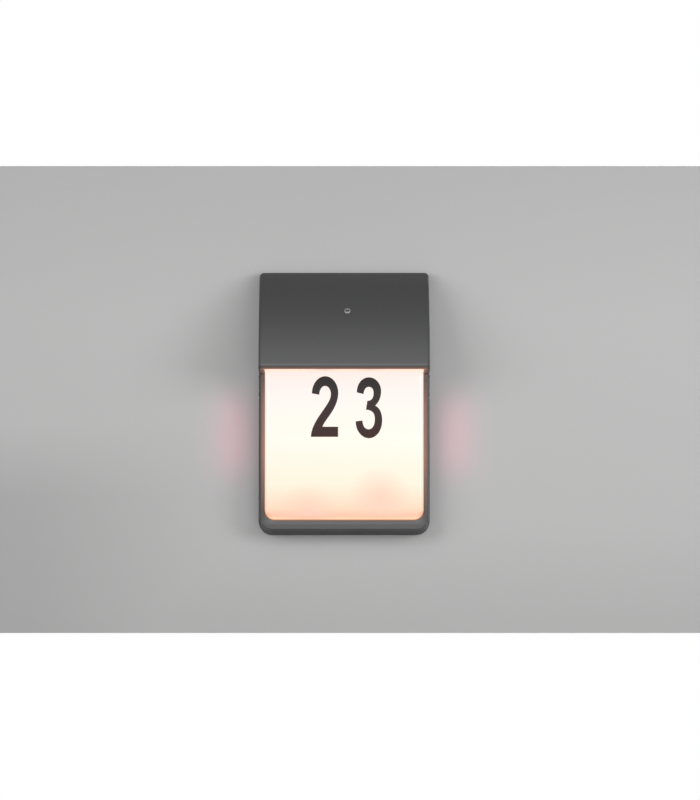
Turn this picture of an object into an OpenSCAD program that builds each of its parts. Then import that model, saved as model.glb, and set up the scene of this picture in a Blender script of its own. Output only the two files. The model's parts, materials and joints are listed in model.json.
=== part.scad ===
// Outdoor wall light: a cast housing with a bowed hood, an opal lit panel and a dusk sensor.
// The back face lies on the wall, the plane Y = 0, and the light stands out along -Y.
// Z is up, and the origin is the middle of the wall bracket's screw slots.
// All lengths are in millimetres. Inside the modules, z is counted from the housing's lowest
// edge, and a depth is counted from the wall towards the viewer.

/* [Housing] */
// Width of the housing at the wall
body_w = 180; // [170:1:200]
// Height from the bottom edge to the top of the hood
body_h = 276; // [270:1:300]
// Radius of the bottom corners at the wall
corner_r = 13.5; // [12.5:0.5:22]
// Depth from the wall to the front of the rails
rail_depth = 30; // [28:0.5:34]
// How far the housing's outside draws in from the wall to the rails' front
rail_draft = 2.4; // [1:0.1:3]
// How far the housing's underside draws in over the same depth
bottom_draft = 4; // [3.4:0.1:6]
// Width of the side rails, from the housing's edge at the wall to the lit panel
rail_w = 6.5; // [5.5:0.1:8]
// Height of the bottom rail
bottom_rail_h = 13.4; // [12:0.1:20]
// Rounding of the rails' front outer edge
rail_edge_r = 1.2; // [0.5:0.1:1.6]
// Thickness of the foam gasket between the housing and the wall
wall_gap = 2; // [1.5:0.1:3]
// Depth of the open space behind the housing's plate
back_space = 11; // [10.6:0.2:13]
// Thickness of the housing's plate
plate_t = 2.5; // [2:0.1:3.5]
// Thickness of the skirt beside the rails
skirt_t = 4; // [3.5:0.1:4.4]
// Thickness of the skirt under the hood
upper_skirt_t = 2.5; // [2:0.1:3]
// Distance from the hood's lower edge down to the wall bracket's middle
bracket_drop = 19.5; // [19.5:0.5:60]

/* [Hood] */
// How far the hood's sides stand in from the housing's edge
hood_inset = 0.75; // [0:0.05:1.75]
// Height of the hood
hood_h = 108.2; // [102:0.1:112]
// Depth from the wall to the front of the hood's top edge
hood_top_depth = 12; // [10:0.5:16]
// Depth from the wall to the front of the hood's lower edge
hood_lip_depth = 86; // [84:0.5:95]
// Radius of the hood's bowed front
hood_bow_r = 144.5; // [130:0.5:160]
// Thickness of the hood's wall
hood_t = 2.7; // [2:0.1:3]
// Rounding of the hood's long front edges
hood_edge_r = 3.6; // [2.5:0.1:5]
// Radius of the hood's top corners
hood_corner_r = 5; // [4:0.1:8]
// Rounding of the hood's lower front edge
lip_r = 2.6; // [1:0.1:2.6]
// Height of the thick rim round the hood's underside
rim_h = 3.5; // [3:0.1:4.5]
// Width of that rim at the front
rim_w = 5.2; // [5:0.1:6]

/* [Lit panel] */
// Depth from the wall to the panel's front
panel_depth = 40; // [38:0.5:46]
// Wall thickness of the opal moulding
panel_t = 2.5; // [2:0.1:2.8]
// Radius of the panel's bottom corners
panel_corner_r = 10.5; // [9:0.5:14]
// Rounding of the panel's front edges
panel_edge_r = 5; // [3.5:0.5:6]
// Thickness of the seals
seal_t = 2; // [1.5:0.1:2.2]
// Height of the shelf above the hood's lower edge
shelf_inset = 0.8; // [0.5:0.1:1.2]

/* [Wall bracket] */
// Height of the steel strap
bracket_h = 30; // [26:1:36]
// Thickness of the strap
bracket_t = 1.5; // [1:0.1:2]
// Inside radius of the strap's bends
bend_r = 2; // [1:0.1:2.5]
// Distance between the outer wall slots
slot_gap = 120; // [110:1:124]
// Length of the outer wall slots, end to end
slot_l = 20; // [12:1:24]
// Distance between the inner slots, for a wall box
box_slot_gap = 60; // [56:1:64]
// Length of the inner slots, end to end
box_slot_l = 12; // [8:1:16]
// Width of all slots
slot_w = 5; // [4.2:0.1:6]
// Depth of the locking screws' axis
lock_depth = 7; // [6:0.1:7.2]

/* [Light source] */
// Width of the LED board
board_w = 110; // [100:1:120]
// Distance from the hood's lower edge down to the LED board
board_drop = 17.5; // [13:0.5:40]
// Thickness of the LED board
board_t = 1.6; // [1:0.1:1.8]
// Number of LED columns
led_columns = 4; // [3:1:5]
// Number of LED rows
led_rows = 6; // [4:1:7]
// Thickness of the reflector's sheet
reflector_t = 1; // [0.8:0.1:1.2]

/* [Wiring chamber] */
// Outer width of the chamber
chamber_w = 104; // [100:1:110]
// Height of the chamber's underside above the hood's lower edge
chamber_rise = 22.5; // [22:0.5:23]
// Distance from the hood's top down to the chamber's top
chamber_drop = 30; // [29:0.5:34]
// Depth from the wall to the chamber's front
chamber_depth = 40.5; // [39:0.5:41.5]
// Length of the LED driver
driver_l = 76; // [68:1:78]
// Height of the LED driver
driver_h = 24; // [20:1:26]
// Thickness of the LED driver
driver_t = 18; // [14:0.5:18.5]
// Width of the terminal block
terminal_w = 32; // [30:0.5:36]
// Height of the terminal block
terminal_h = 18; // [16:0.5:19]
// Thickness of the terminal block
terminal_t = 15; // [12:0.5:16]

/* [Dusk sensor] */
// How far the sensor sits to the right of the middle
sensor_x = 3.4; // [-20:0.1:20]
// Height of the sensor's middle above the LED driver
sensor_rise = 14.5; // [13:0.5:18]
// Diameter of the sensor's window
sensor_window_d = 7.4; // [6:0.1:9]

/* [Clearances] */
// Gap where one piece fits into another
fit = 0.3; // [0.2:0.05:0.4]
// Gap round a screw in its threaded hole
thread_fit = 0.05; // [0.03:0.01:0.08]
// Gap round a screw in a plain hole
screw_fit = 0.3; // [0.2:0.05:0.5]

/* [Hidden] */
$fn = 64;
eps = 0.01;
far = 400;

anthracite = "#4b4c4e";
opal = "#fff6e6";
zinc = "#b9bcc0";
white = "#f2f2ee";
black = "#202022";
silicone = "#8d8f92";

// The hood's bow is the circle of hood_bow_r through the top edge and the lower edge
hood_w = body_w - 2 * hood_inset;
hood_z = body_h - hood_h;
bracket_z = hood_z - bracket_drop;
bow_chord = sqrt(pow(hood_lip_depth - hood_top_depth, 2) + pow(hood_h, 2));
bow_reach = sqrt(pow(hood_bow_r, 2) - pow(bow_chord / 2, 2));
bow_depth = (hood_lip_depth + hood_top_depth) / 2 - bow_reach * hood_h / bow_chord;
bow_z = (body_h + hood_z) / 2 - bow_reach * (hood_lip_depth - hood_top_depth) / bow_chord;
function bow_at(z, r = hood_bow_r) = bow_depth + sqrt(pow(r, 2) - pow(z - bow_z, 2));

// Depths of the layers, from the wall to the front
plate_front = back_space + plate_t;
channel_floor = plate_front + 2;
wall_start = channel_floor + seal_t;
board_front = plate_front + board_t;
led_h = 0.7;
reflector_back = board_front + led_h + 0.4;
chamber_wall = 2.5;
chamber_floor = chamber_depth - chamber_wall;

// Half widths and heights of the openings and of what fits them
open_w = body_w - 2 * rail_w;
panel_w = open_w - 2 * fit;
channel_w = panel_t + 2 * fit;
ring_t = 2;
ring_w = open_w - 2 * channel_w;
tray_w = ring_w - 2 * ring_t - 2 * fit;
open_r = panel_corner_r + fit;
inner_hood_w = hood_w - 2 * hood_t;
upper_w = inner_hood_w - 2 * fit;
frame_top = hood_z - fit;
rim_top = hood_z + rim_h;
shelf_z = hood_z + shelf_inset;
shelf_seal_t = 1;
flange_z = rim_top + shelf_seal_t;
flange_t = 2;
flange_top = flange_z + flange_t;
shelf_front = hood_lip_depth - rim_w - fit;
upper_top = body_h - hood_t - 4.3;
rib_t = 3;
seal_w = 5;

// Wiring chamber and what it carries
chamber_z = hood_z + chamber_rise;
chamber_h = body_h - chamber_drop - chamber_z;
chamber_mid = chamber_z + chamber_h / 2;
chamber_in_w = chamber_w - 2 * chamber_wall;
chamber_in_z = chamber_z + chamber_wall;
terminal_z = chamber_in_z + 5 + terminal_h / 2;
driver_z = chamber_z + 2 + driver_h / 2;
pole_gap = 10;

// Screws: [shank radius, head radius, head height]
m4 = [1.95, 4, 2.4];
m3 = [1.45, 2.8, 1.8];
m25 = [1.2, 2.2, 1.2];
lock_head = [3.8, 2.2];
boss_screw_l = 14;
boss_r = 4.5;
boss_inset = [12, 16.5];
boss_gap = [6.5, 11];
hood_boss = [inner_hood_w / 2 - boss_inset[0], flange_top + boss_gap[0]];
top_boss = [inner_hood_w / 2 - boss_inset[1], upper_top - boss_gap[1]];
hood_boss_l = 31;
panel_boss = [44, bottom_rail_h + 13];
panel_boss_r = 3.5;
board_low = panel_boss[1] + 2 * panel_boss_r;
board_h = hood_z - board_drop - board_low;
board_z = board_low + board_h / 2;
board_screw = [board_w / 2 - 5, board_h / 2 - 5];
led_edge = 14;
led_size = [3.5, 2.8];
connector = [8, 10, 2.6];
connector_z = board_z + board_h / 2 - led_edge;
ceiling_top = chamber_z - 3;
ceiling_slope = 18;
ceiling_gap = 2;
ceiling_w = 2 * (hood_boss[0] - boss_r - ceiling_gap);

// Wiring chamber's pieces
plinth_h = 2;
terminal_front = chamber_floor - plinth_h;
terminal_back = terminal_front - terminal_t;
terminal_mid = terminal_front - terminal_t / 2;
terminal_low = terminal_z - terminal_h / 2;
tab = [9, 9, 2];
tab_x = driver_l / 2 + tab[0] / 2;
tab_z = driver_h / 2 - tab[1] / 2;
tab_boss = [3.5, 3];
tab_screw_l = 7;
grommet = [4, 2.2, 5, 1.2];
grommet_x = -(driver_l / 2 + grommet[2] + 1);
grommet_z = driver_z - 5.5;
earth_boss_h = 4;
earth_tag_t = 0.8;
earth_x = 38;
earth_z = driver_z + 7;
tag_end_x = earth_x - 9;

// Sensor: its axis stands square on the hood's bow
sensor_z = driver_z + driver_h / 2 + sensor_rise;
sensor_lift = asin((sensor_z - bow_z) / hood_bow_r);
sensor_boss_r = 8;
sensor_ear = [9.8, 3];
seat = hood_t + 2.4;
flange = [sensor_window_d / 2 + 1.6, 1.2];
holder_h = 5;
ear_t = 2;
sensor_board_t = 1.2;
sensor_back = seat + holder_h + sensor_board_t;
function sensor_depth(inwards) = bow_at(sensor_z) - inwards * cos(sensor_lift);
function sensor_height(inwards) = sensor_z - inwards * sin(sensor_lift);

// Routes of the inner leads, as [x, depth, z] from end to end
lead_r = 0.8;
lead_gap = 1.1;
mains_route = [for (side = [-1, 1]) [
    [side * 5 - 5, terminal_mid, terminal_low],
    [side * 5 - 5, terminal_mid, terminal_low - 2],
    [side * 2.5 - 12, terminal_mid + 3, terminal_low - 2.9 - side],
    [-30, chamber_floor - 5, terminal_low - 2 - side * lead_gap],
    [grommet_x + 4, chamber_floor - 5, grommet_z - side * lead_gap],
    [grommet_x, chamber_floor - 2, grommet_z - side * lead_gap],
    [grommet_x, chamber_depth + 4, grommet_z - side * lead_gap],
    [grommet_x + 1.6, chamber_depth + 7.4, grommet_z - side * lead_gap],
    [-driver_l / 2 - 2, chamber_depth + 8.5, grommet_z - side * lead_gap],
    [-driver_l / 2, chamber_depth + 8.5, grommet_z - side * lead_gap]
]];
earth_route = [
    [pole_gap, terminal_mid, terminal_low],
    [pole_gap, terminal_mid, terminal_low - 2],
    [16, terminal_mid + 3, terminal_low - 3],
    [22, terminal_mid + 4, terminal_low + 4],
    [tag_end_x - 3, chamber_floor - earth_boss_h - earth_tag_t / 2, earth_z],
    [tag_end_x, chamber_floor - earth_boss_h - earth_tag_t / 2, earth_z]
];
led_route = [for (side = [-1, 1]) [
    [side * lead_gap - 20, chamber_depth + 5, driver_z - driver_h / 2],
    [side * lead_gap - 20, chamber_depth + 5, driver_z - driver_h / 2 - 1.4],
    [side * lead_gap - 20, chamber_depth + 2.4, chamber_z - 1.3],
    [side * lead_gap - 19, chamber_depth - 3, chamber_z - 1.4],
    [side * lead_gap - 12, plate_front + 6, chamber_z - 1.4],
    [side * lead_gap - 10, plate_front + 1.6, chamber_z - 5],
    [side * lead_gap - 6, plate_front + 1.3, chamber_z - 16],
    [side * lead_gap, plate_front + 1.3, board_z + board_h / 2 + 7],
    [side * lead_gap, board_front + 1.3, board_z + board_h / 2 + 1.5],
    [side * lead_gap, board_front + 1.3, connector_z + connector[1] / 2 + 2],
    [side * lead_gap, board_front + 1.3, connector_z + connector[1] / 2]
]];
sensor_route = [for (side = [-1, 1]) [
    [sensor_x + side * lead_gap, chamber_depth + 6.5, driver_z + driver_h / 2],
    [sensor_x + side * lead_gap, chamber_depth + 6.5, driver_z + driver_h / 2 + 2],
    [sensor_x + side * lead_gap, sensor_depth(sensor_back + 2.4), sensor_height(sensor_back + 2.4)],
    [sensor_x + side * lead_gap, sensor_depth(sensor_back), sensor_height(sensor_back)]
]];

// Frames of reference
module from_bottom() {
    translate([0, 0, -bracket_z]) children();
}

// Extrudes an [x, z] outline from one depth to another
module slab(d0, d1) {
    translate([0, -d0, 0]) rotate([90, 0, 0]) linear_extrude(height = d1 - d0) children();
}

// Extrudes a [depth, z] outline from one x to another
module across(x0, x1) {
    translate([x0, 0, 0]) rotate([90, 0, 90]) linear_extrude(height = x1 - x0)
        mirror([1, 0]) children();
}

// Extrudes an [x, depth] outline from one height to another
module upright(z0, z1) {
    translate([0, 0, z0]) linear_extrude(height = z1 - z0) mirror([0, 1]) children();
}

// A round piece along the depth, from depth d0 to depth d1
module rod(x, z, r, d0, d1) {
    translate([x, -d0, z]) rotate([90, 0, 0]) cylinder(r = r, h = d1 - d0);
}

// Puts its children on the hood's bow at the sensor, with +Z pointing out of the hood
module at_sensor(inwards = 0) {
    translate([sensor_x, -bow_at(sensor_z), sensor_z]) rotate([90 - sensor_lift, 0, 0])
        translate([0, 0, -inwards]) children();
}

module both_sides() {
    children();
    mirror([1, 0, 0]) children();
}

// Outlines
// Rounded at its two top corners
module arch(w, low, high, r) {
    translate([-w / 2, low]) square([w, high - low - r]);
    translate([-w / 2 + r, low]) square([w - 2 * r, high - low]);
    for (side = [-1, 1]) translate([side * (w / 2 - r), high - r]) circle(r);
}

// Rounded at its two bottom corners
module pan(w, low, high, r) {
    translate([-w / 2, low + r]) square([w, high - low - r]);
    translate([-w / 2 + r, low]) square([w - 2 * r, high - low]);
    for (side = [-1, 1]) translate([side * (w / 2 - r), low + r]) circle(r);
}

module round_box(w, h, r) {
    square([w - 2 * r, h], center = true);
    square([w, h - 2 * r], center = true);
    for (x = [-1, 1], y = [-1, 1]) translate([x * (w / 2 - r), y * (h / 2 - r)]) circle(r);
}

module slot(length, width) {
    square([length - width, width], center = true);
    for (side = [-1, 1]) translate([side * (length - width) / 2, 0]) circle(width / 2);
}

// Section of a drafted wall, as [distance outwards, depth], with its front edge rounded
module pan_section(reach, d0, d1, draft, edge) {
    lean = atan(draft / (d1 - d0));
    out = reach - draft * (d1 - edge - d0) / (d1 - d0) - edge / cos(lean);
    polygon([
        [0, d0],
        [reach, d0],
        [out + edge * cos(lean), d1 - edge + edge * sin(lean)],
        [out, d1 - edge],
        [out, d1],
        [0, d1]
    ]);
    translate([out, d1 - edge]) circle(edge);
}

// A solid with a pan's outline, with its front edge rounded on three sides
module pan_solid(w, low, high, r, d0, d1, draft, edge) {
    half = w / 2 - r;
    slab(d0, d1) translate([-half, low + r]) square([2 * half, high - low - r]);
    both_sides() upright(low + r, high) translate([half, 0])
        pan_section(r, d0, d1, draft, edge);
    across(-half, half) translate([0, low + r]) rotate(-90)
        pan_section(r, d0, d1, draft, edge);
    both_sides() translate([half, 0, low + r]) rotate([90, 0, 0])
        rotate_extrude() pan_section(r, d0, d1, draft, edge);
}

// A disc with rounded rims, lying across the hood on the centre of its bow
module bowed_disc(r, half_w, edge) {
    translate([0, -bow_depth, bow_z]) rotate([0, 90, 0]) rotate_extrude($fn = 160) {
        translate([0, -half_w]) square([r - edge, 2 * half_w]);
        translate([0, edge - half_w]) square([r, 2 * (half_w - edge)]);
        for (side = [-1, 1]) translate([r - edge, side * (half_w - edge)]) circle(edge);
    }
}

// A pan-head screw from its seat at depth d: its head lies behind the seat, at lower depths
module screw(kind, x, z, d, length) {
    rod(x, z, kind[0], d - eps, d + length);
    difference() {
        rod(x, z, kind[1], d - kind[2], d);
        rod(x, z, kind[0] * 0.55, d - kind[2] - eps, d - kind[2] * 0.45, $fn = 6);
    }
}

// The same screw standing the other way, with its head in front of the seat
module front_screw(kind, x, z, d, length) {
    mirror_at(d) screw(kind, x, z, d, length);
}

module mirror_at(d) {
    translate([0, -2 * d, 0]) mirror([0, 1, 0]) children();
}

// A lead along its route: a tube of 8 sides swept along a smooth curve through the points
function curve(p, i, t) =
    let(a = p[max(i - 1, 0)], b = p[i], c = p[i + 1], d = p[min(i + 2, len(p) - 1)])
    0.5 * (2 * b + (c - a) * t + (2 * a - 5 * b + 4 * c - d) * t * t
        + (3 * b - a - 3 * c + d) * t * t * t);
function smooth(p, steps) = [
    for (i = [0:len(p) - 2], s = [0:steps - 1]) curve(p, i, s / steps),
    p[len(p) - 1]
];
function unit(v) = v / norm(v);
function across_to(t, last) = unit(last - (last * t) * t);

// Each ring's two side directions: the end rings stand square to the first and last stretch
function lead_frames(q, first_t, last_t, i = 0, last = [0.31, 0.52, 0.8]) =
    i == len(q) ? [] :
    let(
        t = i == 0 ? first_t : i == len(q) - 1 ? last_t : unit(q[i + 1] - q[i - 1]),
        n = across_to(t, last)
    )
    concat([[n, cross(t, n)]], lead_frames(q, first_t, last_t, i + 1, n));

module lead(route, r) {
    sides = 8;
    p = [for (stop = route) [stop[0], -stop[1], stop[2]]];
    q = smooth(p, 3);
    frames = lead_frames(q, unit(p[1] - p[0]), unit(p[len(p) - 1] - p[len(p) - 2]));
    points = [
        for (i = [0:len(q) - 1], k = [0:sides - 1])
            q[i] + r * (cos(360 * k / sides) * frames[i][0] + sin(360 * k / sides) * frames[i][1])
    ];
    walls = [
        for (i = [0:len(q) - 2], k = [0:sides - 1])
            let(a = i * sides + k, b = i * sides + (k + 1) % sides)
            each [[a, a + sides, b], [b, a + sides, b + sides]]
    ];
    ends = [
        [for (k = [0:sides - 1]) k],
        [for (k = [sides - 1:-1:0]) (len(q) - 1) * sides + k]
    ];
    polyhedron(points, concat(walls, ends));
}

// Outline of the housing's back edge, drawn in by e
module back_outline(e) {
    pan(body_w - 2 * e, e, frame_top, corner_r - e);
    translate([e - open_w / 2 + fit, frame_top - 1]) square([open_w - 2 * (fit + e), rim_h + 6]);
    arch(upper_w - 2 * e, rim_top + fit, upper_top - e, 4);
}

// Outline of the open space behind the housing's plate
module back_space_outline() {
    neck_w = open_w - 2 * (fit + upper_skirt_t);
    pan(body_w - 2 * skirt_t, skirt_t, frame_top - upper_skirt_t, corner_r - skirt_t);
    translate([-neck_w / 2, frame_top - 20]) square([neck_w, rim_h + 30]);
    arch(upper_w - 2 * upper_skirt_t, rim_top + fit + upper_skirt_t,
        upper_top - upper_skirt_t, 3);
}

// Wall bracket: a strap with slots and two bent ears
module wall_bracket() {
    half = body_w / 2 - skirt_t - 0.5;
    reach = lock_depth + 2.5;
    out = bend_r + bracket_t;
    color(zinc) difference() {
        upright(-bracket_h / 2, bracket_h / 2) {
            translate([-half + out, 0]) square([2 * (half - out), bracket_t]);
            for (side = [0, 1]) mirror([side, 0]) {
                translate([half - bracket_t, out]) square([bracket_t, reach - out]);
                translate([half - out, out]) intersection() {
                    difference() {
                        circle(out);
                        circle(bend_r);
                    }
                    translate([0, -out]) square([out, out]);
                }
            }
        }
        for (x = [-1, 1]) {
            slab(-1, bracket_t + 1) translate([x * slot_gap / 2, 0]) slot(slot_l, slot_w);
            slab(-1, bracket_t + 1) translate([x * box_slot_gap / 2, 0]) slot(box_slot_l, slot_w);
        }
        translate([-half - 1, -lock_depth, 0]) rotate([0, 90, 0])
            cylinder(r = m4[0] + thread_fit, h = 2 * half + 2);
    }
}

// Locking screws: they stand in the bracket's ears and clamp the skirt's notched sides
module locking_screws() {
    seat_x = body_w / 2 - lock_head[1] - 0.1;
    inner_x = body_w / 2 - skirt_t - 6;
    color(zinc) both_sides() translate([inner_x, -lock_depth, 0]) rotate([0, 90, 0]) {
        cylinder(r = m4[0], h = seat_x - inner_x + eps);
        translate([0, 0, seat_x - inner_x]) difference() {
            cylinder(r = lock_head[0], h = lock_head[1]);
            translate([0, 0, 1]) cylinder(r = 1.5, h = 2, $fn = 6);
        }
    }
}

module lock_notches() {
    seat_x = body_w / 2 - lock_head[1] - 0.2;
    notch = m4[0] + screw_fit;
    recess = lock_head[0] + 0.8;
    both_sides() translate([0, -lock_depth, bracket_z]) {
        translate([body_w / 2 - skirt_t - 1, 0, 0]) rotate([0, 90, 0])
            cylinder(r = notch, h = skirt_t + 2);
        translate([body_w / 2 - skirt_t - 1, 0, -notch])
            cube([skirt_t + 2, lock_depth + 1, 2 * notch]);
        translate([seat_x, 0, 0]) rotate([0, 90, 0]) cylinder(r = recess, h = skirt_t);
        translate([seat_x, 0, -recess]) cube([skirt_t, lock_depth + 1, 2 * recess]);
    }
}

module wall_gasket() {
    color(black) from_bottom() difference() {
        slab(0, wall_gap) difference() {
            back_outline(0.8);
            back_space_outline();
        }
        translate([-body_w, -wall_gap - 1, bracket_z - 6]) cube([2 * body_w, wall_gap + 2, 12]);
    }
}

// Housing: the plate with its skirt, the rails round the lit panel and the wiring chamber.
// Its outside is two drafted solids in one: one gives the sides, the other the steeper underside.
module base_housing() {
    underside_rise = bottom_draft - rail_draft + 0.3;
    underside_inset = 1;
    color(anthracite) from_bottom() difference() {
        union() {
            difference() {
                union() {
                    pan_solid(body_w, underside_rise, frame_top, corner_r, wall_gap, rail_depth,
                        rail_draft, rail_edge_r);
                    pan_solid(body_w - underside_inset, 0, frame_top, corner_r, wall_gap,
                        rail_depth, bottom_draft, rail_edge_r);
                    slab(wall_gap, plate_front) intersection() {
                        back_outline(0);
                        translate([-body_w / 2, frame_top - 1]) square([body_w, body_h]);
                    }
                }
                slab(channel_floor, rail_depth + 1)
                    pan(open_w, bottom_rail_h, frame_top + 1, open_r);
                slab(plate_front, channel_floor + 1) light_space();
            }
            slab(plate_front - eps, plate_front + 10) difference() {
                pan(ring_w, bottom_rail_h + channel_w, frame_top, open_r - channel_w);
                light_space();
            }
            slab(plate_front - eps, chamber_depth) translate([0, chamber_mid])
                round_box(chamber_w, chamber_h, 6);
        }
        slab(-1, back_space) back_space_outline();
        difference() {
            slab(-1, chamber_floor) translate([0, chamber_mid])
                round_box(chamber_in_w, chamber_h - 2 * chamber_wall, 4);
            chamber_bosses();
        }
        bottom_rail_cores();
        lock_notches();
        housing_holes();
    }
}

module light_space() {
    edge = channel_w + ring_t;
    pan(open_w - 2 * edge, bottom_rail_h + edge, frame_top + 1, open_r - edge);
}

// Pockets that keep the bottom rail's wall even, open to the space behind the plate
module bottom_rail_cores() {
    low = bottom_draft + 2.2;
    rib = 4;
    pocket = (body_w - 2 * corner_r - 16) / 3;
    for (i = [-1, 0, 1]) slab(back_space - 1, rail_depth - 4)
        translate([i * pocket, (low + bottom_rail_h - 3) / 2])
            square([pocket - rib, bottom_rail_h - 3 - low], center = true);
}

module chamber_bosses() {
    slab(terminal_front, chamber_depth) translate([0, terminal_z])
        square([terminal_w, terminal_h], center = true);
    for (side = [-1, 1])
        rod(side * tab_x, driver_z - side * tab_z, tab_boss[0], chamber_floor - tab_boss[1],
            chamber_depth);
    rod(earth_x, earth_z, boss_r, chamber_floor - earth_boss_h, chamber_depth);
}

module housing_holes() {
    for (side = [-1, 1]) {
        for (p = [hood_boss, top_boss])
            rod(side * p[0], p[1], m4[0] + screw_fit, 0, plate_front + 1);
        rod(side * panel_boss[0], panel_boss[1], m3[0] + screw_fit, 0, plate_front + 1);
        rod(side * tab_x, driver_z - side * tab_z, m3[0] + thread_fit,
            chamber_floor - tab_boss[1] - 1, chamber_depth + 1);
        rod(side * pole_gap / 2, terminal_z, m3[0] + thread_fit, terminal_front - 1,
            chamber_depth - 0.2);
        for (up = [-1, 1])
            rod(side * board_screw[0], board_z + up * board_screw[1], m3[0] + thread_fit,
                0, plate_front + 1);
    }
    rod(earth_x, earth_z, m4[0] + thread_fit, chamber_floor - earth_boss_h - 1,
        chamber_depth - 0.2);
    rod(grommet_x, grommet_z, grommet[0], chamber_floor - 1, chamber_depth + 1);
}

// Section of the hood from the side, [depth, z], with its lower front edge rounded
module lip_section() {
    rise = hood_z + lip_r - bow_z;
    reach = bow_depth + sqrt(pow(hood_bow_r - lip_r, 2) - pow(rise, 2));
    intersection() {
        translate([-far / 2, hood_z]) square([far, far]);
        union() {
            translate([-far / 2, hood_z]) square([far / 2 + reach, far]);
            translate([reach, hood_z + lip_r]) circle(lip_r);
            translate([reach, hood_z + lip_r]) rotate(asin(rise / (hood_bow_r - lip_r)))
                translate([-far, 0]) square([2 * far, far]);
        }
    }
}

module hood_outside() {
    intersection() {
        bowed_disc(hood_bow_r, hood_w / 2, hood_edge_r);
        slab(wall_gap, far) arch(hood_w, hood_z, body_h, hood_corner_r);
        across(-far, far) lip_section();
    }
}

module hood_inside() {
    intersection() {
        bowed_disc(hood_bow_r - hood_t, inner_hood_w / 2, hood_edge_r / 2);
        slab(-1, far) arch(inner_hood_w, rim_top, body_h - hood_t, hood_corner_r - hood_t);
    }
}

// Hood: a bowed shell with a rim round its underside, a seal rib and four screw bosses
module hood() {
    color(anthracite) from_bottom() difference() {
        hood_outside();
        difference() {
            hood_inside();
            hood_ribs();
        }
        upright(hood_z - 1, rim_top + eps) arch(open_w, -1, hood_lip_depth - rim_w, 3);
        for (side = [-1, 1], p = [hood_boss, top_boss])
            rod(side * p[0], p[1], m4[0] + thread_fit, plate_front, plate_front + boss_screw_l);
        at_sensor(seat + 1) cylinder(r = sensor_window_d / 2 + 0.1, h = seat + 3);
        for (side = [-1, 1]) at_sensor(seat + 1) translate([side * sensor_ear[0], 0, 0])
            cylinder(r = m25[0] + thread_fit, h = 4.6);
    }
}

// What stands inside the hood's shell: the seal rib, the screw bosses and the sensor's seat
module hood_ribs() {
    rear = plate_front + fit;
    slab(plate_front + seal_t, plate_front + seal_t + rib_t) difference() {
        arch(inner_hood_w + 1, flange_top + 0.5, body_h, 4);
        arch(upper_w - 2 * seal_w, flange_top, upper_top - seal_w, 2);
    }
    for (side = [-1, 1]) {
        rod(side * top_boss[0], top_boss[1], boss_r, rear, far / 2);
        rod(side * hood_boss[0], hood_boss[1], boss_r, rear, rear + hood_boss_l);
    }
    both_sides() translate([hood_boss[0], -rear - hood_boss_l, hood_boss[1] - 1.25])
        cube([inner_hood_w / 2 - hood_boss[0] + 0.5, hood_boss_l - seal_t, 2.5]);
    at_sensor(seat) {
        cylinder(r = sensor_boss_r, h = seat - 0.5);
        for (side = [-1, 1]) translate([side * sensor_ear[0], 0, 0])
            cylinder(r = sensor_ear[1], h = seat - 0.5);
    }
}

module hood_seal() {
    color(silicone) from_bottom() slab(plate_front, plate_front + seal_t) difference() {
        arch(upper_w, rim_top + fit, upper_top, 4);
        arch(upper_w - 2 * seal_w, rim_top, upper_top - seal_w, 2);
    }
}

module hood_screws() {
    color(zinc) from_bottom() for (side = [-1, 1], p = [hood_boss, top_boss])
        screw(m4, side * p[0], p[1], back_space, boss_screw_l);
}

// Lit panel: an opal tray with a shelf that closes the hood's underside
module diffuser() {
    low = bottom_rail_h + fit;
    rear = plate_front + seal_t + fit;
    in_w = panel_w - 2 * panel_t;
    flange_w = inner_hood_w - 2 * fit;
    color(opal) from_bottom() difference() {
        union() {
            difference() {
                pan_solid(panel_w, low, shelf_z + panel_t, panel_corner_r, wall_start,
                    panel_depth, 0, panel_edge_r);
                pan_solid(in_w, low + panel_t, body_h, panel_corner_r - panel_t,
                    wall_start - 1, panel_depth - panel_t, 0, panel_edge_r - panel_t);
            }
            upright(shelf_z, shelf_z + panel_t) difference() {
                arch(panel_w, wall_start, shelf_front, 3 - fit);
                translate([-in_w / 2, 0]) square([in_w, panel_depth - panel_t]);
            }
            upright(shelf_z, flange_top) difference() {
                arch(panel_w, wall_start, shelf_front, 3 - fit);
                arch(in_w, 0, shelf_front - panel_t, 0.8);
            }
            upright(flange_z, flange_top) difference() {
                arch(flange_w, rear, bow_at(flange_top, hood_bow_r - hood_t) - fit, 2);
                arch(in_w, 0, shelf_front - panel_t, 0.8);
            }
            for (side = [-1, 1])
                rod(side * panel_boss[0], panel_boss[1], panel_boss_r, plate_front + fit,
                    panel_depth - panel_t + 0.5);
        }
        for (side = [-1, 1])
            rod(side * panel_boss[0], panel_boss[1], m3[0] + thread_fit, plate_front,
                plate_front + boss_screw_l);
    }
}

module diffuser_seal() {
    edge = 0.2;
    color(silicone) from_bottom() slab(channel_floor, wall_start) difference() {
        pan(open_w - 2 * edge, bottom_rail_h + edge, frame_top, open_r - edge);
        pan(ring_w + 2 * edge, bottom_rail_h + channel_w - edge, frame_top + 1,
            open_r - channel_w + edge);
    }
}

module shelf_seal() {
    color(silicone) from_bottom() upright(rim_top, flange_z) difference() {
        arch(inner_hood_w - 2 * fit, plate_front + seal_t + fit,
            bow_at(flange_z, hood_bow_r - hood_t) - fit, 2);
        arch(open_w, 0, hood_lip_depth - rim_w, 3);
    }
}

module diffuser_screws() {
    color(zinc) from_bottom() for (side = [-1, 1])
        screw(m3, side * panel_boss[0], panel_boss[1], back_space, boss_screw_l);
}

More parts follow.
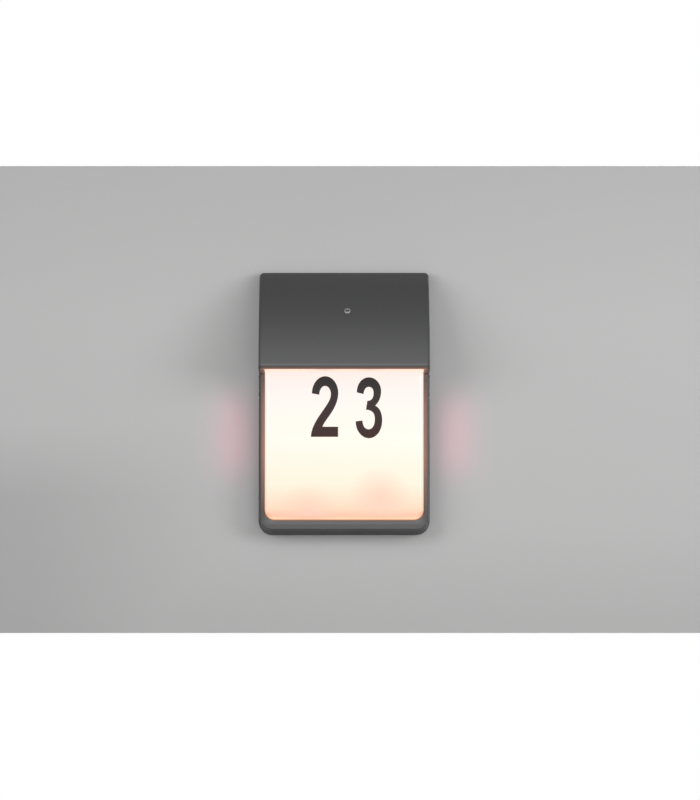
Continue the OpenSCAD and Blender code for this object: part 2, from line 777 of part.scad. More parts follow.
// Reflector: a white tray round the LEDs, with a ceiling that curves over the panel's shelf
module reflector() {
    front = reflector_back + reflector_t;
    edge = channel_w + ring_t + fit;
    low = bottom_rail_h + edge;
    top = frame_top - 4;
    bend = 9;
    color(white) from_bottom() {
        difference() {
            slab(reflector_back, front) {
                pan(tray_w, low, top, open_r - edge);
                translate([-ceiling_w / 2, top - 1]) square([ceiling_w, ceiling_top - bend - top + 1]);
            }
            reflector_holes();
        }
        slab(front - eps, front + 7) difference() {
            pan(tray_w, low, top, open_r - edge);
            pan(tray_w - 2 * reflector_t, low + reflector_t, top + 1, open_r - edge - reflector_t);
        }
        for (side = [-1, 1], z = [low + 14, top - 8])
            rod(side * (ceiling_w / 2 - 4), z, 3, plate_front, reflector_back + eps);
        across(-ceiling_w / 2, ceiling_w / 2) ceiling_section(bend);
        both_sides() across(ceiling_w / 2 - reflector_t, ceiling_w / 2) cheek_section(bend);
    }
}

// [depth, z] of the ceiling: a quarter bend, a level stretch and a slope down to the shelf
module ceiling_section(bend) {
    turn = [reflector_back + bend, ceiling_top - bend];
    nose = ceiling_nose();
    translate(turn) intersection() {
        difference() {
            circle(bend);
            circle(bend - reflector_t);
        }
        translate([-bend, 0]) square(bend);
    }
    polygon([
        [turn[0], ceiling_top],
        [ceiling_knee(), ceiling_top],
        nose,
        [nose[0] - 1.6 * reflector_t, nose[1]],
        [ceiling_knee() - 0.5 * reflector_t, ceiling_top - reflector_t],
        [turn[0], ceiling_top - reflector_t]
    ]);
}

module cheek_section(bend) {
    turn = [reflector_back + bend, ceiling_top - bend];
    nose = ceiling_nose();
    translate(turn) circle(bend);
    polygon([
        [turn[0], ceiling_top],
        [ceiling_knee(), ceiling_top],
        nose,
        [reflector_back, nose[1]],
        [reflector_back, turn[1]],
        turn
    ]);
}

function ceiling_knee() = shelf_front - ceiling_slope;
function ceiling_nose() = [shelf_front - 3.5, flange_top + 1.5];

module reflector_holes() {
    deep = [reflector_back - 1, reflector_back + reflector_t + 1];
    for (p = led_places()) rod(p[0], p[1], 3.2, deep[0], deep[1]);
    for (side = [-1, 1]) {
        rod(side * panel_boss[0], panel_boss[1], panel_boss_r + fit, deep[0], deep[1]);
        for (up = [-1, 1])
            rod(side * board_screw[0], board_z + up * board_screw[1], m3[1] + fit,
                deep[0], deep[1]);
    }
    slab(deep[0], deep[1]) translate([-connector[0] / 2 - 1, connector_z - connector[1] / 2 - 1])
        square([connector[0] + 2, board_z + board_h / 2 + 9 - connector_z + connector[1] / 2]);
}

function led_places() = [
    for (i = [0:led_columns - 1], j = [0:led_rows - 1]) [
        (i / (led_columns - 1) - 0.5) * (board_w - 2 * led_edge),
        board_z + (j / (led_rows - 1) - 0.5) * (board_h - 2 * led_edge)
    ]
];

module led_board() {
    color(white) from_bottom() difference() {
        slab(plate_front, board_front) translate([0, board_z]) round_box(board_w, board_h, 3);
        for (x = [-1, 1], up = [-1, 1])
            rod(x * board_screw[0], board_z + up * board_screw[1], m3[0] + screw_fit,
                0, board_front + 1);
    }
}

module led_chips() {
    color("khaki") from_bottom() for (p = led_places())
        slab(board_front, board_front + led_h) translate(p) square(led_size, center = true);
}

// Push-in connector with two wire mouths on its top
module led_connector() {
    color(white) from_bottom() difference() {
        slab(board_front, board_front + connector[2]) translate([0, connector_z])
            round_box(connector[0], connector[1], 0.6);
        for (side = [-1, 1]) slab(board_front + 0.5, board_front + connector[2] + 1)
            translate([side * 2, connector_z - 3]) square([1.6, 2.4], center = true);
    }
}

module led_board_screws() {
    color(zinc) from_bottom() for (x = [-1, 1], up = [-1, 1])
        front_screw(m3, x * board_screw[0], board_z + up * board_screw[1], board_front,
            board_t + plate_t - 0.2);
}

module led_driver() {
    low = chamber_depth;
    color(white) from_bottom() difference() {
        union() {
            slab(low, low + driver_t) translate([0, driver_z])
                round_box(driver_l, driver_h, 2);
            for (side = [-1, 1]) slab(low, low + tab[2])
                translate([side * (tab_x - 1), driver_z - side * tab_z])
                    round_box(tab[0] + 2, tab[1], 2);
        }
        for (side = [-1, 1])
            rod(side * tab_x, driver_z - side * tab_z, m3[0] + screw_fit, low - 1,
                low + tab[2] + 1);
        slab(low + driver_t - 0.6, low + driver_t + 1) translate([0, driver_z])
            round_box(driver_l - 12, driver_h - 8, 1.5);
    }
}

module driver_screws() {
    color(zinc) from_bottom() for (side = [-1, 1])
        front_screw(m3, side * tab_x, driver_z - side * tab_z, chamber_depth + tab[2],
            tab_screw_l);
}

// Terminal block for three poles, with a wire mouth above and below each
module terminal_block() {
    color(white) from_bottom() difference() {
        slab(terminal_back, terminal_front) translate([0, terminal_z])
            round_box(terminal_w, terminal_h, 1);
        for (pole = [-1, 0, 1], up = [-1, 1]) {
            rod(pole * pole_gap, terminal_z + up * 4.5, 2, terminal_back - 1, terminal_back + 4);
            translate([pole * pole_gap, -terminal_mid, terminal_z + up * terminal_h / 2])
                cylinder(r = 1.7, h = 8, center = true);
        }
        for (side = [-1, 1]) {
            rod(side * pole_gap / 2, terminal_z, m3[0] + screw_fit, 0, chamber_depth);
            rod(side * pole_gap / 2, terminal_z, m3[1] + fit, 0, terminal_back + 4);
        }
        for (side = [-1, 1]) slab(terminal_back - 1, terminal_back + 2)
            translate([side * pole_gap / 2, terminal_z + 6.8]) square([1, 5], center = true);
    }
}

module terminal_screws() {
    color(zinc) from_bottom() for (pole = [-1, 0, 1], up = [-1, 1]) difference() {
        rod(pole * pole_gap, terminal_z + up * 4.5, 1.8, terminal_back + 1.2, terminal_back + 4);
        slab(0, terminal_back + 2) translate([pole * pole_gap, terminal_z + up * 4.5])
            square([4, 0.7], center = true);
    }
}

module terminal_block_screws() {
    color(zinc) from_bottom() for (side = [-1, 1])
        screw(m3, side * pole_gap / 2, terminal_z, terminal_back + 4,
            chamber_depth - 0.4 - terminal_back - 4);
}

// Earth screw with the ring tag under its head
module earth_screw() {
    tag = chamber_floor - earth_boss_h - earth_tag_t;
    color("gold") from_bottom() {
        screw(m4, earth_x, earth_z, tag, earth_tag_t + earth_boss_h + chamber_wall - 0.4);
        difference() {
            union() {
                rod(earth_x, earth_z, 4.4, tag, tag + earth_tag_t);
                slab(tag, tag + earth_tag_t) translate([(earth_x + tag_end_x) / 2 - 1, earth_z])
                    square([earth_x - tag_end_x - 2, 2.6], center = true);
            }
            rod(earth_x, earth_z, m4[0] + 0.1, tag - 1, tag + earth_tag_t + 1);
        }
    }
}

module lead_grommet() {
    color(black) from_bottom() difference() {
        union() {
            rod(grommet_x, grommet_z, grommet[0], chamber_floor, chamber_depth);
            rod(grommet_x, grommet_z, grommet[2], chamber_floor - grommet[3], chamber_floor);
            rod(grommet_x, grommet_z, grommet[2], chamber_depth, chamber_depth + grommet[3]);
        }
        rod(grommet_x, grommet_z, grommet[1], chamber_floor - 5, chamber_depth + 5);
    }
}

module mains_leads() {
    color("saddlebrown") from_bottom() for (route = mains_route) lead(route, lead_r);
}

module earth_wire() {
    color("yellowgreen") from_bottom() lead(earth_route, lead_r);
}

module led_leads() {
    color("firebrick") from_bottom() for (route = led_route) lead(route, lead_r);
}

module sensor_leads() {
    color("royalblue") from_bottom() for (route = sensor_route) lead(route, lead_r);
}

// Clear window: a plug through the hood's wall with a flange behind it
module sensor_window() {
    color("gainsboro") from_bottom() at_sensor(seat + flange[1]) {
        cylinder(r = flange[0], h = flange[1]);
        cylinder(r = sensor_window_d / 2, h = seat + flange[1]);
    }
}

module sensor_holder() {
    color(black) from_bottom() at_sensor(seat + holder_h) difference() {
        union() {
            cylinder(r = sensor_boss_r, h = holder_h);
            for (side = [-1, 1]) translate([side * sensor_ear[0], 0, holder_h - ear_t])
                cylinder(r = sensor_ear[1], h = ear_t);
        }
        translate([0, 0, -1]) cylinder(r = 3.4, h = holder_h + 2);
        translate([0, 0, holder_h - flange[1]]) cylinder(r = flange[0] + 0.1, h = flange[1] + 1);
        for (side = [-1, 1]) translate([side * sensor_ear[0], 0, -1]) {
            cylinder(r = m25[0] + 0.15, h = holder_h + 2);
            cylinder(r = m25[1] + 0.2, h = holder_h - ear_t + 1);
        }
    }
}

module sensor_board() {
    color("seagreen") from_bottom() at_sensor(sensor_back)
        cylinder(r = 6.5, h = sensor_board_t);
}

// Photocell: a small disc with its track on top
module photocell() {
    color("peru") from_bottom() at_sensor(seat + holder_h) {
        cylinder(r = 2.5, h = 2);
        for (x = [-1, 1]) translate([x - 0.15, -1.4, 2 - eps]) cube([0.3, 2.8, 0.25]);
    }
}

module sensor_screws() {
    color(zinc) from_bottom() for (side = [-1, 1]) at_sensor(seat + ear_t)
        translate([side * sensor_ear[0], 0, 0]) {
            translate([0, 0, -eps]) cylinder(r = m25[0], h = ear_t + 3.2 + eps);
            translate([0, 0, -m25[2]]) cylinder(r = m25[1], h = m25[2]);
        }
}

wall_bracket();
locking_screws();
wall_gasket();
base_housing();
hood();
hood_seal();
hood_screws();
diffuser();
diffuser_seal();
shelf_seal();
diffuser_screws();
reflector();
led_board();
led_chips();
led_connector();
led_board_screws();
led_driver();
driver_screws();
terminal_block();
terminal_screws();
terminal_block_screws();
earth_screw();
lead_grommet();
mains_leads();
earth_wire();
led_leads();
sensor_leads();
sensor_window();
sensor_holder();
sensor_board();
photocell();
sensor_screws();
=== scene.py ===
"""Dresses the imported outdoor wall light: cast housing, hood, lit number panel, dusk sensor."""

import json
import math

import bmesh
import bpy
from bpy.props import FloatProperty, FloatVectorProperty, IntProperty, PointerProperty
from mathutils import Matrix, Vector


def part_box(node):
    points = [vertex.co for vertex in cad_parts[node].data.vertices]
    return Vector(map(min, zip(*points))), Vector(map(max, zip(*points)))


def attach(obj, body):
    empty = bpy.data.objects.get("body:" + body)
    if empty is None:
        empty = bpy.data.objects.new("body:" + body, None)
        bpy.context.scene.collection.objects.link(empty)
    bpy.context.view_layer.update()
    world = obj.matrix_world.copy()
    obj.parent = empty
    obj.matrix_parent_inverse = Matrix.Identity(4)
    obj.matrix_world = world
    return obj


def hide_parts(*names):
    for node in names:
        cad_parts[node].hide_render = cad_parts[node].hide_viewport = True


bl_info = {
    "name": "Outdoor wall light",
    "version": (1, 0, 0),
    "blender": (4, 5, 0),
    "location": "View3D > Sidebar > Wall light",
    "description": "Finishes, screws, house number, sensor and studio of the outdoor wall light",
    "category": "Object",
}

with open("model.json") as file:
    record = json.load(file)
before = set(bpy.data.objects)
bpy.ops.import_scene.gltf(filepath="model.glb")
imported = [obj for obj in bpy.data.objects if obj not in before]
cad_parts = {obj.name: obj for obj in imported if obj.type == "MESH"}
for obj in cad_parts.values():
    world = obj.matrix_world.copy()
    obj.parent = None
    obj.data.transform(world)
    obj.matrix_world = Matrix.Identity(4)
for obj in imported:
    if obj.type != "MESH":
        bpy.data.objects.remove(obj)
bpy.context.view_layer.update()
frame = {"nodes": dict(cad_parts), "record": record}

MM = 0.001
OUTWARDS = Vector((0, -1, 0))
TOWARDS_WALL = Vector((0, 1, 0))
SIDEWAYS = Vector((1, 0, 0))
LUMINAIRE = "luminaire"
BLACK, WHITE = (0, 0, 0, 1), (1, 1, 1, 1)
# How far out of the wall the lit panel's front lies, and the hood's upright lip
PANEL_FRONT = -40 * MM
LIP_FRONT = -80 * MM
BODIES = {
    node: body for body, nodes in frame["record"]["behaviour"]["bodies"].items() for node in nodes
}


def linear(code):
    """An sRGB hex colour as linear red, green, blue and alpha."""
    parts = [int(code[i : i + 2], 16) / 255 for i in (1, 3, 5)]
    return tuple(c / 12.92 if c <= 0.04045 else ((c + 0.055) / 1.055) ** 2.4 for c in parts) + (1,)


def number(name, default, description, **more):
    return FloatProperty(name=name, description=description, default=default, **more)


def length(name, default, description):
    """A size in metres, written in millimetres."""
    return number(name, default * MM, description, unit="LENGTH", precision=5)


def colour(name, code, description):
    kind = {"default": linear(code), "size": 4, "min": 0, "max": 1, "subtype": "COLOR"}
    return FloatVectorProperty(name=name, description=description, **kind)


def count(name, default, description):
    return IntProperty(name=name, description=description, default=default, min=1)


# What a user would change


class StageSettings(bpy.types.PropertyGroup):
    """The camera, the lamps and the wall behind the light."""

    distance: length("Camera distance", 6000, "From the camera to the wall")
    elevation: number(
        "Camera elevation", math.radians(-5), "Its angle above the light", subtype="ANGLE"
    )
    lens: number("Lens", 256.1, "Focal length", min=10, unit="CAMERA")
    aim_x: length("Aim to the right", 6.1, "Where the camera looks, right of the middle")
    aim_drop: length("Aim below", 5.7, "Where the camera looks, below the bracket's middle")
    wall_top: length("Wall top", 242.8, "Top of the wall panel, above the bracket's middle")
    wall_height: length("Wall height", 494.2, "Height of the wall panel")
    wall_colour: colour("Wall", "#BABABA", "Painted wall")
    floor_colour: colour("Floor", "#D8D8D6", "Floor below the light")
    fill: number("Fill", 0.02, "Light that comes from all round", min=0)


class CastingSettings(bpy.types.PropertyGroup):
    """The powder coat on the hood and the housing."""

    coat: colour("Powder coat", "#454546", "Anthracite powder coat")
    spill: colour("Panel spill", "#B87A60", "The lit panel's light on the castings beside it")
    foot_spill: colour("Foot spill", "#575959", "The lit panel's light on the rail below it")
    coat_grain: length("Coat grain", 0.7, "Size of the coat's fine texture")
    coat_flow: length("Coat flow", 3.2, "Size of the coat's soft unevenness")


class PanelSettings(bpy.types.PropertyGroup):
    """The opal panel, lit from behind."""

    opal: colour("Opal", "#82807E", "Opal polycarbonate, as the room lights it")
    foot_glow: colour("Foot glow", "#F6BB92", "Light at the bottom edge")
    sill_glow: colour("Sill glow", "#DA9468", "Light just above the bottom edge")
    low_glow: colour("Low glow", "#DAB08B", "Light above the bottom edge")
    third_glow: colour("Third glow", "#D7CDB1", "Light a third of the way up")
    main_glow: colour("Main glow", "#D8D6C7", "Light in the middle")
    top_glow: colour("Top glow", "#DACDC9", "Light below the hood")
    hood_glow: colour("Hood glow", "#E0D3CD", "Light close under the hood")
    shelf_glow: colour("Shelf glow", "#E1C0AA", "Light on the shelf under the hood")
    side_glow: colour("Side glow", "#A05F38", "Light in the moulding's sides")
    boss_glow: colour("Boss glow", "#DAA082", "Light where the screw bosses shade the panel")


class NumberSettings(bpy.types.PropertyGroup):
    """The house number, cut from self-adhesive film."""

    film: colour("Film", "#323032", "Grey film on the lit panel")
    warm_film: colour("Warm film", "#3D2C29", "Film where more of the panel's light comes through")
    film_edge: colour("Film edge", "#5A3A2E", "Film where light creeps in at its cut edge")
    thickness: length("Film thickness", 0.15, "Thickness of the film")
    first_x: length("Left edge", -34.9, "Left edge of the first digit")
    second_x: length("Second digit", 12.0, "Left edge of the second digit")
    foot: length("Foot", -47.9, "Foot of the digits, from the bracket's middle")


class ScrewSettings(bpy.types.PropertyGroup):
    """Zinc-plated screws."""

    pitch: length("Thread pitch", 0.7, "Distance between the threads")
    depth: length("Thread depth", 0.28, "Depth of the threads")
    seed: count("Turn seed", 7, "How far each screw happened to be turned")


class LightSourceSettings(bpy.types.PropertyGroup):
    """The LEDs on their board."""

    columns: count("Columns", 4, "LED columns")
    rows: count("Rows", 6, "LED rows")
    width: length("Package width", 3.5, "Width of an LED")
    height: length("Package height", 2.8, "Height of an LED")


class SensorSettings(bpy.types.PropertyGroup):
    """The dusk sensor's window."""

    radius: length("Window radius", 3.2, "Radius of the frosted ring")
    rim: length("Ring width", 0.75, "Width of the frosted ring")
    proud: length("Ring height", 0.25, "How far the ring stands out of the hood")
    lens_radius: length("Lens radius", 0.95, "Radius of the two dark lenses")
    lens_gap: length("Lens gap", 2.5, "Distance between the two lenses")


class WallLightSettings(bpy.types.PropertyGroup):
    """All settings of the wall light."""

    stage: PointerProperty(type=StageSettings)
    casting: PointerProperty(type=CastingSettings)
    panel: PointerProperty(type=PanelSettings)
    number: PointerProperty(type=NumberSettings)
    screw: PointerProperty(type=ScrewSettings)
    light: PointerProperty(type=LightSourceSettings)
    sensor: PointerProperty(type=SensorSettings)


# Nodes and materials


def add(tree, kind, sockets=None, **settings):
    """Adds a node with its settings. A socket takes a value, or another node's output."""
    made = tree.nodes.new(kind)
    for name, value in settings.items():
        setattr(made, name, value)
    for key, value in (sockets or {}).items():
        if isinstance(value, bpy.types.NodeSocket):
            tree.links.new(value, made.inputs[key])
        else:
            made.inputs[key].default_value = value
    return made


def start(name):
    """A new material, and its Object coordinates."""
    made = bpy.data.materials.new(name)
    made.use_nodes = True
    made.node_tree.nodes.clear()
    return made, add(made.node_tree, "ShaderNodeTexCoord").outputs["Object"]


def close(made, output):
    add(made.node_tree, "ShaderNodeOutputMaterial", {"Surface": output})
    return made


def ramp(value, low, high, to_low=0, to_high=1):
    """Maps a value from one range to another."""
    sockets = {"Value": value, "From Min": low, "From Max": high}
    sockets |= {"To Min": to_low, "To Max": to_high}
    return add(value.id_data, "ShaderNodeMapRange", sockets).outputs["Result"]


def zone(value, base, low, high, to_low=0, to_high=1):
    """A ramp from one place to another, both in millimetres from a base in metres."""
    return ramp(value, base + low * MM, base + high * MM, to_low, to_high)


def joined(operation, *values):
    """The values joined by a maths operation, in the tree of the first one."""
    whole = values[0]
    for value in values[1:]:
        whole = add(whole.id_data, "ShaderNodeMath", {0: whole, 1: value}, operation=operation)
        whole = whole.outputs[0]
    return whole


def times(*values):
    return joined("MULTIPLY", *values)


def most(*values):
    return joined("MAXIMUM", *values)


def axes(where):
    """The X, Y and Z of a place, in metres."""
    return tuple(add(where.id_data, "ShaderNodeSeparateXYZ", {"Vector": where}).outputs)


def noise(where, size, detail=2):
    """Noise of a size in millimetres."""
    sockets = {"Vector": where, "Scale": 1 / (size * MM), "Detail": detail}
    return add(where.id_data, "ShaderNodeTexNoise", sockets).outputs["Fac"]


# The scale of a wave texture whose bands lie a metre apart
METRE_WAVE = 0.314


def bands(where, spacing, direction, distortion=0, detail=0):
    """Bands at a spacing in millimetres, more or less wavy."""
    sockets = {"Vector": where, "Scale": METRE_WAVE / (spacing * MM)}
    sockets |= {"Distortion": distortion, "Detail": detail}
    made = add(where.id_data, "ShaderNodeTexWave", sockets, bands_direction=direction)
    return made.outputs["Fac"]


def tint(value, *stops):
    """A colour that changes along a value."""
    made = add(value.id_data, "ShaderNodeValToRGB", {"Fac": value})
    places = made.color_ramp.elements
    while len(places) < len(stops):
        places.new(1)
    for place, (position, shade) in zip(places, stops):
        place.position, place.color = position, shade
    return made.outputs["Color"]


def graded(value, shares):
    """A share that changes along a value."""
    return tint(value, *((place, (share, share, share, 1)) for place, share in shares))


def mottled(value, shade, spread):
    """A linear colour, a little darker and a little lighter along a noise."""
    tones = [tuple(min(1, c * (1 + s)) for c in shade[:3]) + (1,) for s in (-spread, spread)]
    return tint(value, *zip((0.3, 0.7), tones))


def blend(share, first, second):
    """The first colour, with a share of the second."""
    sockets = {0: share, 6: first, 7: second}
    return add(share.id_data, "ShaderNodeMix", sockets, data_type="RGBA").outputs[2]


def relief(height, distance, edge=None, under=None):
    """Bump of a height in mm, over edges rounded by a radius in mm or over another bump."""
    tree = height.id_data
    sockets = {"Height": height, "Distance": distance * MM}
    if edge:
        under = add(tree, "ShaderNodeBevel", {"Radius": edge * MM}, samples=4).outputs["Normal"]
    if under:
        sockets["Normal"] = under
    return add(tree, "ShaderNodeBump", sockets).outputs["Normal"]


def shader(made, base, rough, normal=None, **sockets):
    """One Principled shader; underscores stand for the spaces in its sockets' names."""
    sockets = {key.replace("_", " "): value for key, value in sockets.items()}
    sockets |= {"Base Color": base, "Roughness": rough}
    if normal:
        sockets["Normal"] = normal
    return add(made.node_tree, "ShaderNodeBsdfPrincipled", sockets).outputs["BSDF"]


def principled(made, *looks, **sockets):
    """Ends a material with one Principled shader."""
    return close(made, shader(made, *looks, **sockets))


def surface(name, code, rough, grain, depth, patch=12, **sockets):
    """A moulded surface: patches of a size in mm over a grain of a size and height in mm."""
    made, where = start(name)
    fine = noise(where, grain)
    base = mottled(noise(where, patch, 3), linear(code), 0.06)
    uneven = ramp(fine, 0.3, 0.7, rough - 0.05, rough + 0.05)
    eased = relief(fine, depth, 0.2)
    return principled(made, base, uneven, eased, **sockets)


# Share of the outer edges' painted shade on the faces that don't look forwards, and on the foot
TURNED_AWAY = 0.45


def powder_coat(node, edge, look, rim, front, keep):
    """Fine-textured polyester powder coat on cast aluminium: an even, soft sheen, a tight grain.

    edge is the radius of the casting's edges. Outside rim, a distance from the middle, the coat is
    duller and darkened by painted shade: further out of the wall than front it keeps a share of its
    colour, behind that and on the housing's foot it loses less. All in mm.
    """
    made, where = start("anthracite_powder_coat_on_" + node)
    x, y, z = axes(where)
    aside = most(x, times(x, -1))
    # The flow is orange peel of the coat's own size; the grain is drawn a little coarser than real
    flow = noise(where, look.coat_flow / MM)
    grain = noise(where, look.coat_grain / MM, 3)
    # Painted shade on the outer edges and sides
    outside = zone(aside, 0, rim, rim + 1)
    ahead = zone(y, 0, front + 0.8, front, TURNED_AWAY)
    # Painted shade on the housing's foot, which faces down
    foot = zone(z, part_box("base_housing")[0].z, 4.5, 3.5, 0, TURNED_AWAY)
    painted_shade = times(most(times(outside, ahead), foot), 1 - keep)
    if node == "hood":
        # Painted shade where the lip's foot turns down, away from the lamps
        turned = zone(z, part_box("hood")[0].z, 3.6, 2.7, 0, 0.52)
        painted_shade = most(painted_shade, times(turned, zone(y, LIP_FRONT, 2, 0)))
    rough = ramp(flow, 0.3, 0.7, 0.49, 0.55)
    tone, strength = panel_spill(y, z, aside, look)
    return principled(
        made,
        blend(painted_shade, mottled(grain, look.coat, 0.05), BLACK),
        joined("ADD", rough, times(outside, 0.5 * (1 - keep))),
        relief(grain, 0.02, under=relief(flow, 0.02, edge)),
        Specular_IOR_Level=0.45,
        Emission_Color=tone,
        Emission_Strength=strength,
    )


# Share of the panel's light on the lip of the hood, from its foot to 4 mm above that
SPILL_UP_LIP = ((0, 0.45), (0.13, 0.42), (0.27, 0.17), (0.5, 0.08), (0.7, 0.02), (0.85, 0))
# Share of the panel's light on the rails, from the panel's foot to the hood
SPILL_ALONG_RAIL = ((0.03, 0), (0.13, 0.26), (0.45, 0.82), (0.8, 0.6), (0.96, 0.22), (0.99, 0.34))
# Where that light ends and is full, in millimetres: across a rail, and along the rail below
RAIL_LIT = (89.2, 82.5)
FOOT_LIT = (85, 77)


def panel_spill(y, z, aside, look):
    """The lit panel's light on the castings: on the rails, the rail below it and the hood's lip."""
    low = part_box("diffuser")[0].z
    rim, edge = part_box("hood")[0].z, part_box("hood")[1].x

    def band(base, low_end, low_full, high_full, high_end, share=1):
        """A share that rises and falls again up the light, in millimetres from a base."""
        rise = zone(z, base, low_end, low_full, 0, share)
        return times(rise, zone(z, base, high_end, high_full))

    out = zone(y, PANEL_FRONT, 12.5, 10.5)
    # Most light leaves the moulding's sides a little below the middle
    along = graded(ramp(z, low, rim), SPILL_ALONG_RAIL)
    rail = times(along, zone(aside, 0, *RAIL_LIT), out, zone(z, rim, 0.3, 0.1))
    foot = times(band(low, -5.5, 0, 5, 8), out, zone(aside, 0, *FOOT_LIT))
    inner = zone(aside, edge, -1.6, -4)
    lip = times(graded(zone(z, rim, 0, 4), SPILL_UP_LIP), zone(z, rim, -0.3, -0.1))
    lip = times(lip, inner, zone(y, LIP_FRONT, 4, 0, 0.25))
    # The lip's eased edge catches a thin line of light
    line = times(band(rim, 3.5, 4.2, 4.6, 6.2, 0.42), inner, zone(y, LIP_FRONT, 2, 0))
    warm = times(zone(z, low, 3, 6), zone(z, rim, 3.4, 3))
    tone = blend(warm, look.foot_spill, look.spill)
    return tone, most(rail, lip, foot, line)


def blob(where, middle, size):
    """A soft round patch about a point, from 1 in its middle to 0 at its rim."""
    sockets = {"Vector": where, "Location": middle, "Scale": (size, 1, size)}
    tree = where.id_data
    placed = add(tree, "ShaderNodeMapping", sockets, vector_type="TEXTURE").outputs[0]
    ball = add(tree, "ShaderNodeTexGradient", {"Vector": placed}, gradient_type="SPHERICAL")
    return ball.outputs["Fac"]


# Patches that the screw bosses shade: how far aside, how far above the panel's foot and how wide,
# in millimetres, and how strong
BOSS_SHADES = ((-39, 7, 32, 0.8), (37, 22, 34, 0.85))


def lit_opal(look):
    """Opal polycarbonate over warm LEDs: milky white, peach where less light reaches it."""
    made, where = start("lit_opal_polycarbonate")
    low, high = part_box("diffuser")
    _, y, z = axes(where)
    glow = tint(
        ramp(z, low.z, high.z),
        (0.008, look.foot_glow),
        (0.03, look.sill_glow),
        (0.07, look.low_glow),
        (0.225, look.third_glow),
        (0.52, look.main_glow),
        (0.87, look.top_glow),
        (0.94, look.hood_glow),
    )
    for aside, up, size, share in BOSS_SHADES:
        spot = blob(where, (aside * MM, 0, low.z + up * MM), size * MM)
        glow = blend(times(spot, share), glow, look.boss_glow)
    # The shelf under the hood stands further out than the front, and the sides lie deeper
    for begin, end, tone in ((-0.3, -3, look.shelf_glow), (2.4, 5, look.side_glow)):
        glow = blend(zone(y, PANEL_FRONT, begin, end), glow, tone)
    # The eased rim stands in less of the room's light and lets more of its own through
    strength = zone(y, PANEL_FRONT, 0.1, 1.8, 1, 1.12)
    ripple = relief(noise(where, 1.4), 0.008)
    light = {"Emission_Color": glow, "Emission_Strength": strength}
    return principled(made, look.opal, 0.38, ripple, IOR=1.58, **light)


def number_film(look):
    """Cast vinyl film: smooth and satin, with a warmer rim where the panel's light creeps in."""
    made, where = start("cast_vinyl_film")
    rim = add(made.node_tree, "ShaderNodeAttribute", attribute_name="rim").outputs["Fac"]
    low = zone(axes(where)[2], look.foot, 55, 0)
    skin = noise(where, 0.6)
    base = blend(low, mottled(skin, look.film, 0.04), look.warm_film)
    base = blend(rim, base, look.film_edge)
    return principled(made, base, 0.5, relief(skin, 0.006), Specular_IOR_Level=0.12)


def zinc_plate(name, *codes):
    """Zinc-plated steel: a cool metal, clouded in three tones by its passivation."""
    made, where = start(name)
    cloud = noise(where, 6, 4)
    fine = noise(where, 0.5, 3)
    base = tint(cloud, *zip((0.3, 0.55, 0.75), map(linear, codes)))
    rough = ramp(cloud, 0.3, 0.7, 0.28, 0.42)
    eased = relief(fine, 0.01, 0.15)
    return principled(made, base, rough, eased, Metallic=1)


def brass():
    """Turned brass: a warm metal with fine turning marks and a dull film of handling."""
    made, where = start("turned_brass")
    film = noise(where, 2.5, 3)
    marks = relief(noise(where, 0.25), 0.008)
    base = tint(film, (0.35, linear("#B8923F")), (0.7, linear("#D9BC72")))
    return principled(made, base, ramp(film, 0.3, 0.7, 0.22, 0.36), marks, Metallic=1)


def foam():
    """Closed-cell EPDM foam: near black, with open cells where the strip was cut."""
    made, where = start("cut_epdm_foam")
    sockets = {"Vector": where, "Scale": 1 / (0.9 * MM)}
    cells = add(made.node_tree, "ShaderNodeTexVoronoi", sockets).outputs["Distance"]
    base = tint(cells, (0.1, linear("#161617")), (0.6, linear("#303033")))
    return principled(made, base, 0.9, relief(cells, 0.15))


def solder_mask(name, code, track_code, spacing):
    """A circuit board's lacquer, raised and paler over its copper tracks."""
    made, where = start(name)
    track = ramp(bands(where, spacing, "X", 1.5, 1), 0.78, 0.84)
    weave = noise(where, 0.8)
    base = blend(track, mottled(weave, linear(code), 0.05), linear(track_code))
    raised = relief(track, 0.035, 0.1)
    return principled(made, base, ramp(weave, 0.3, 0.7, 0.26, 0.36), raised)


def photocell_face():
    """Cadmium sulphide on ceramic: an orange-brown comb track under a clear coat."""
    made, where = start("photocell_track")
    comb = ramp(bands(where, 0.8, "Z", 3), 0.45, 0.55)
    base = tint(comb, (0.2, linear("#8C4A26")), (0.8, linear("#D8B08A")))
    return principled(made, base, 0.3, relief(comb, 0.02), Coat_Weight=0.6)


def lead_pvc(name, code, second=None):
    """PVC insulation: smooth and a little waxy, with a second colour wound round it if given."""
    made, where = start(name)
    skin = noise(where, 0.7)
    base = mottled(skin, linear(code), 0.08)
    if second:
        wound = ramp(bands(where, 1.6, "DIAGONAL"), 0.47, 0.53)
        base = blend(wound, base, linear(second))
    return principled(made, base, 0.34, relief(skin, 0.01), IOR=1.53)


# Meshes


def mesh_of(name, points, faces):
    mesh = bpy.data.meshes.new(name)
    mesh.from_pydata(points, [], faces)
    return mesh


def mesh_from(work, name):
    """A mesh with what was built in a bmesh, which goes."""
    mesh = bpy.data.meshes.new(name)
    work.to_mesh(mesh)
    work.free()
    return mesh


def middle_of(points):
    """The mean of some points."""
    return sum(points, Vector()) / len(points)


def link(name, data):
    """An object in the scene, with its mesh, lamp or camera."""
    piece = bpy.data.objects.new(name, data)
    bpy.context.collection.objects.link(piece)
    return piece


def baked(piece):
    """The mesh that a piece's modifiers give; the piece itself goes."""
    graph = bpy.context.evaluated_depsgraph_get()
    mesh = bpy.data.meshes.new_from_object(piece.evaluated_get(graph))
    mesh.name = piece.name
    bpy.data.objects.remove(piece)
    return mesh


def smooth(mesh, angle=32):
    """Smooth shading, with edges sharper than an angle in degrees left sharp."""
    mesh.polygons.foreach_set("use_smooth", [True] * len(mesh.polygons))
    mesh.set_sharp_from_angle(angle=math.radians(angle))
    return mesh


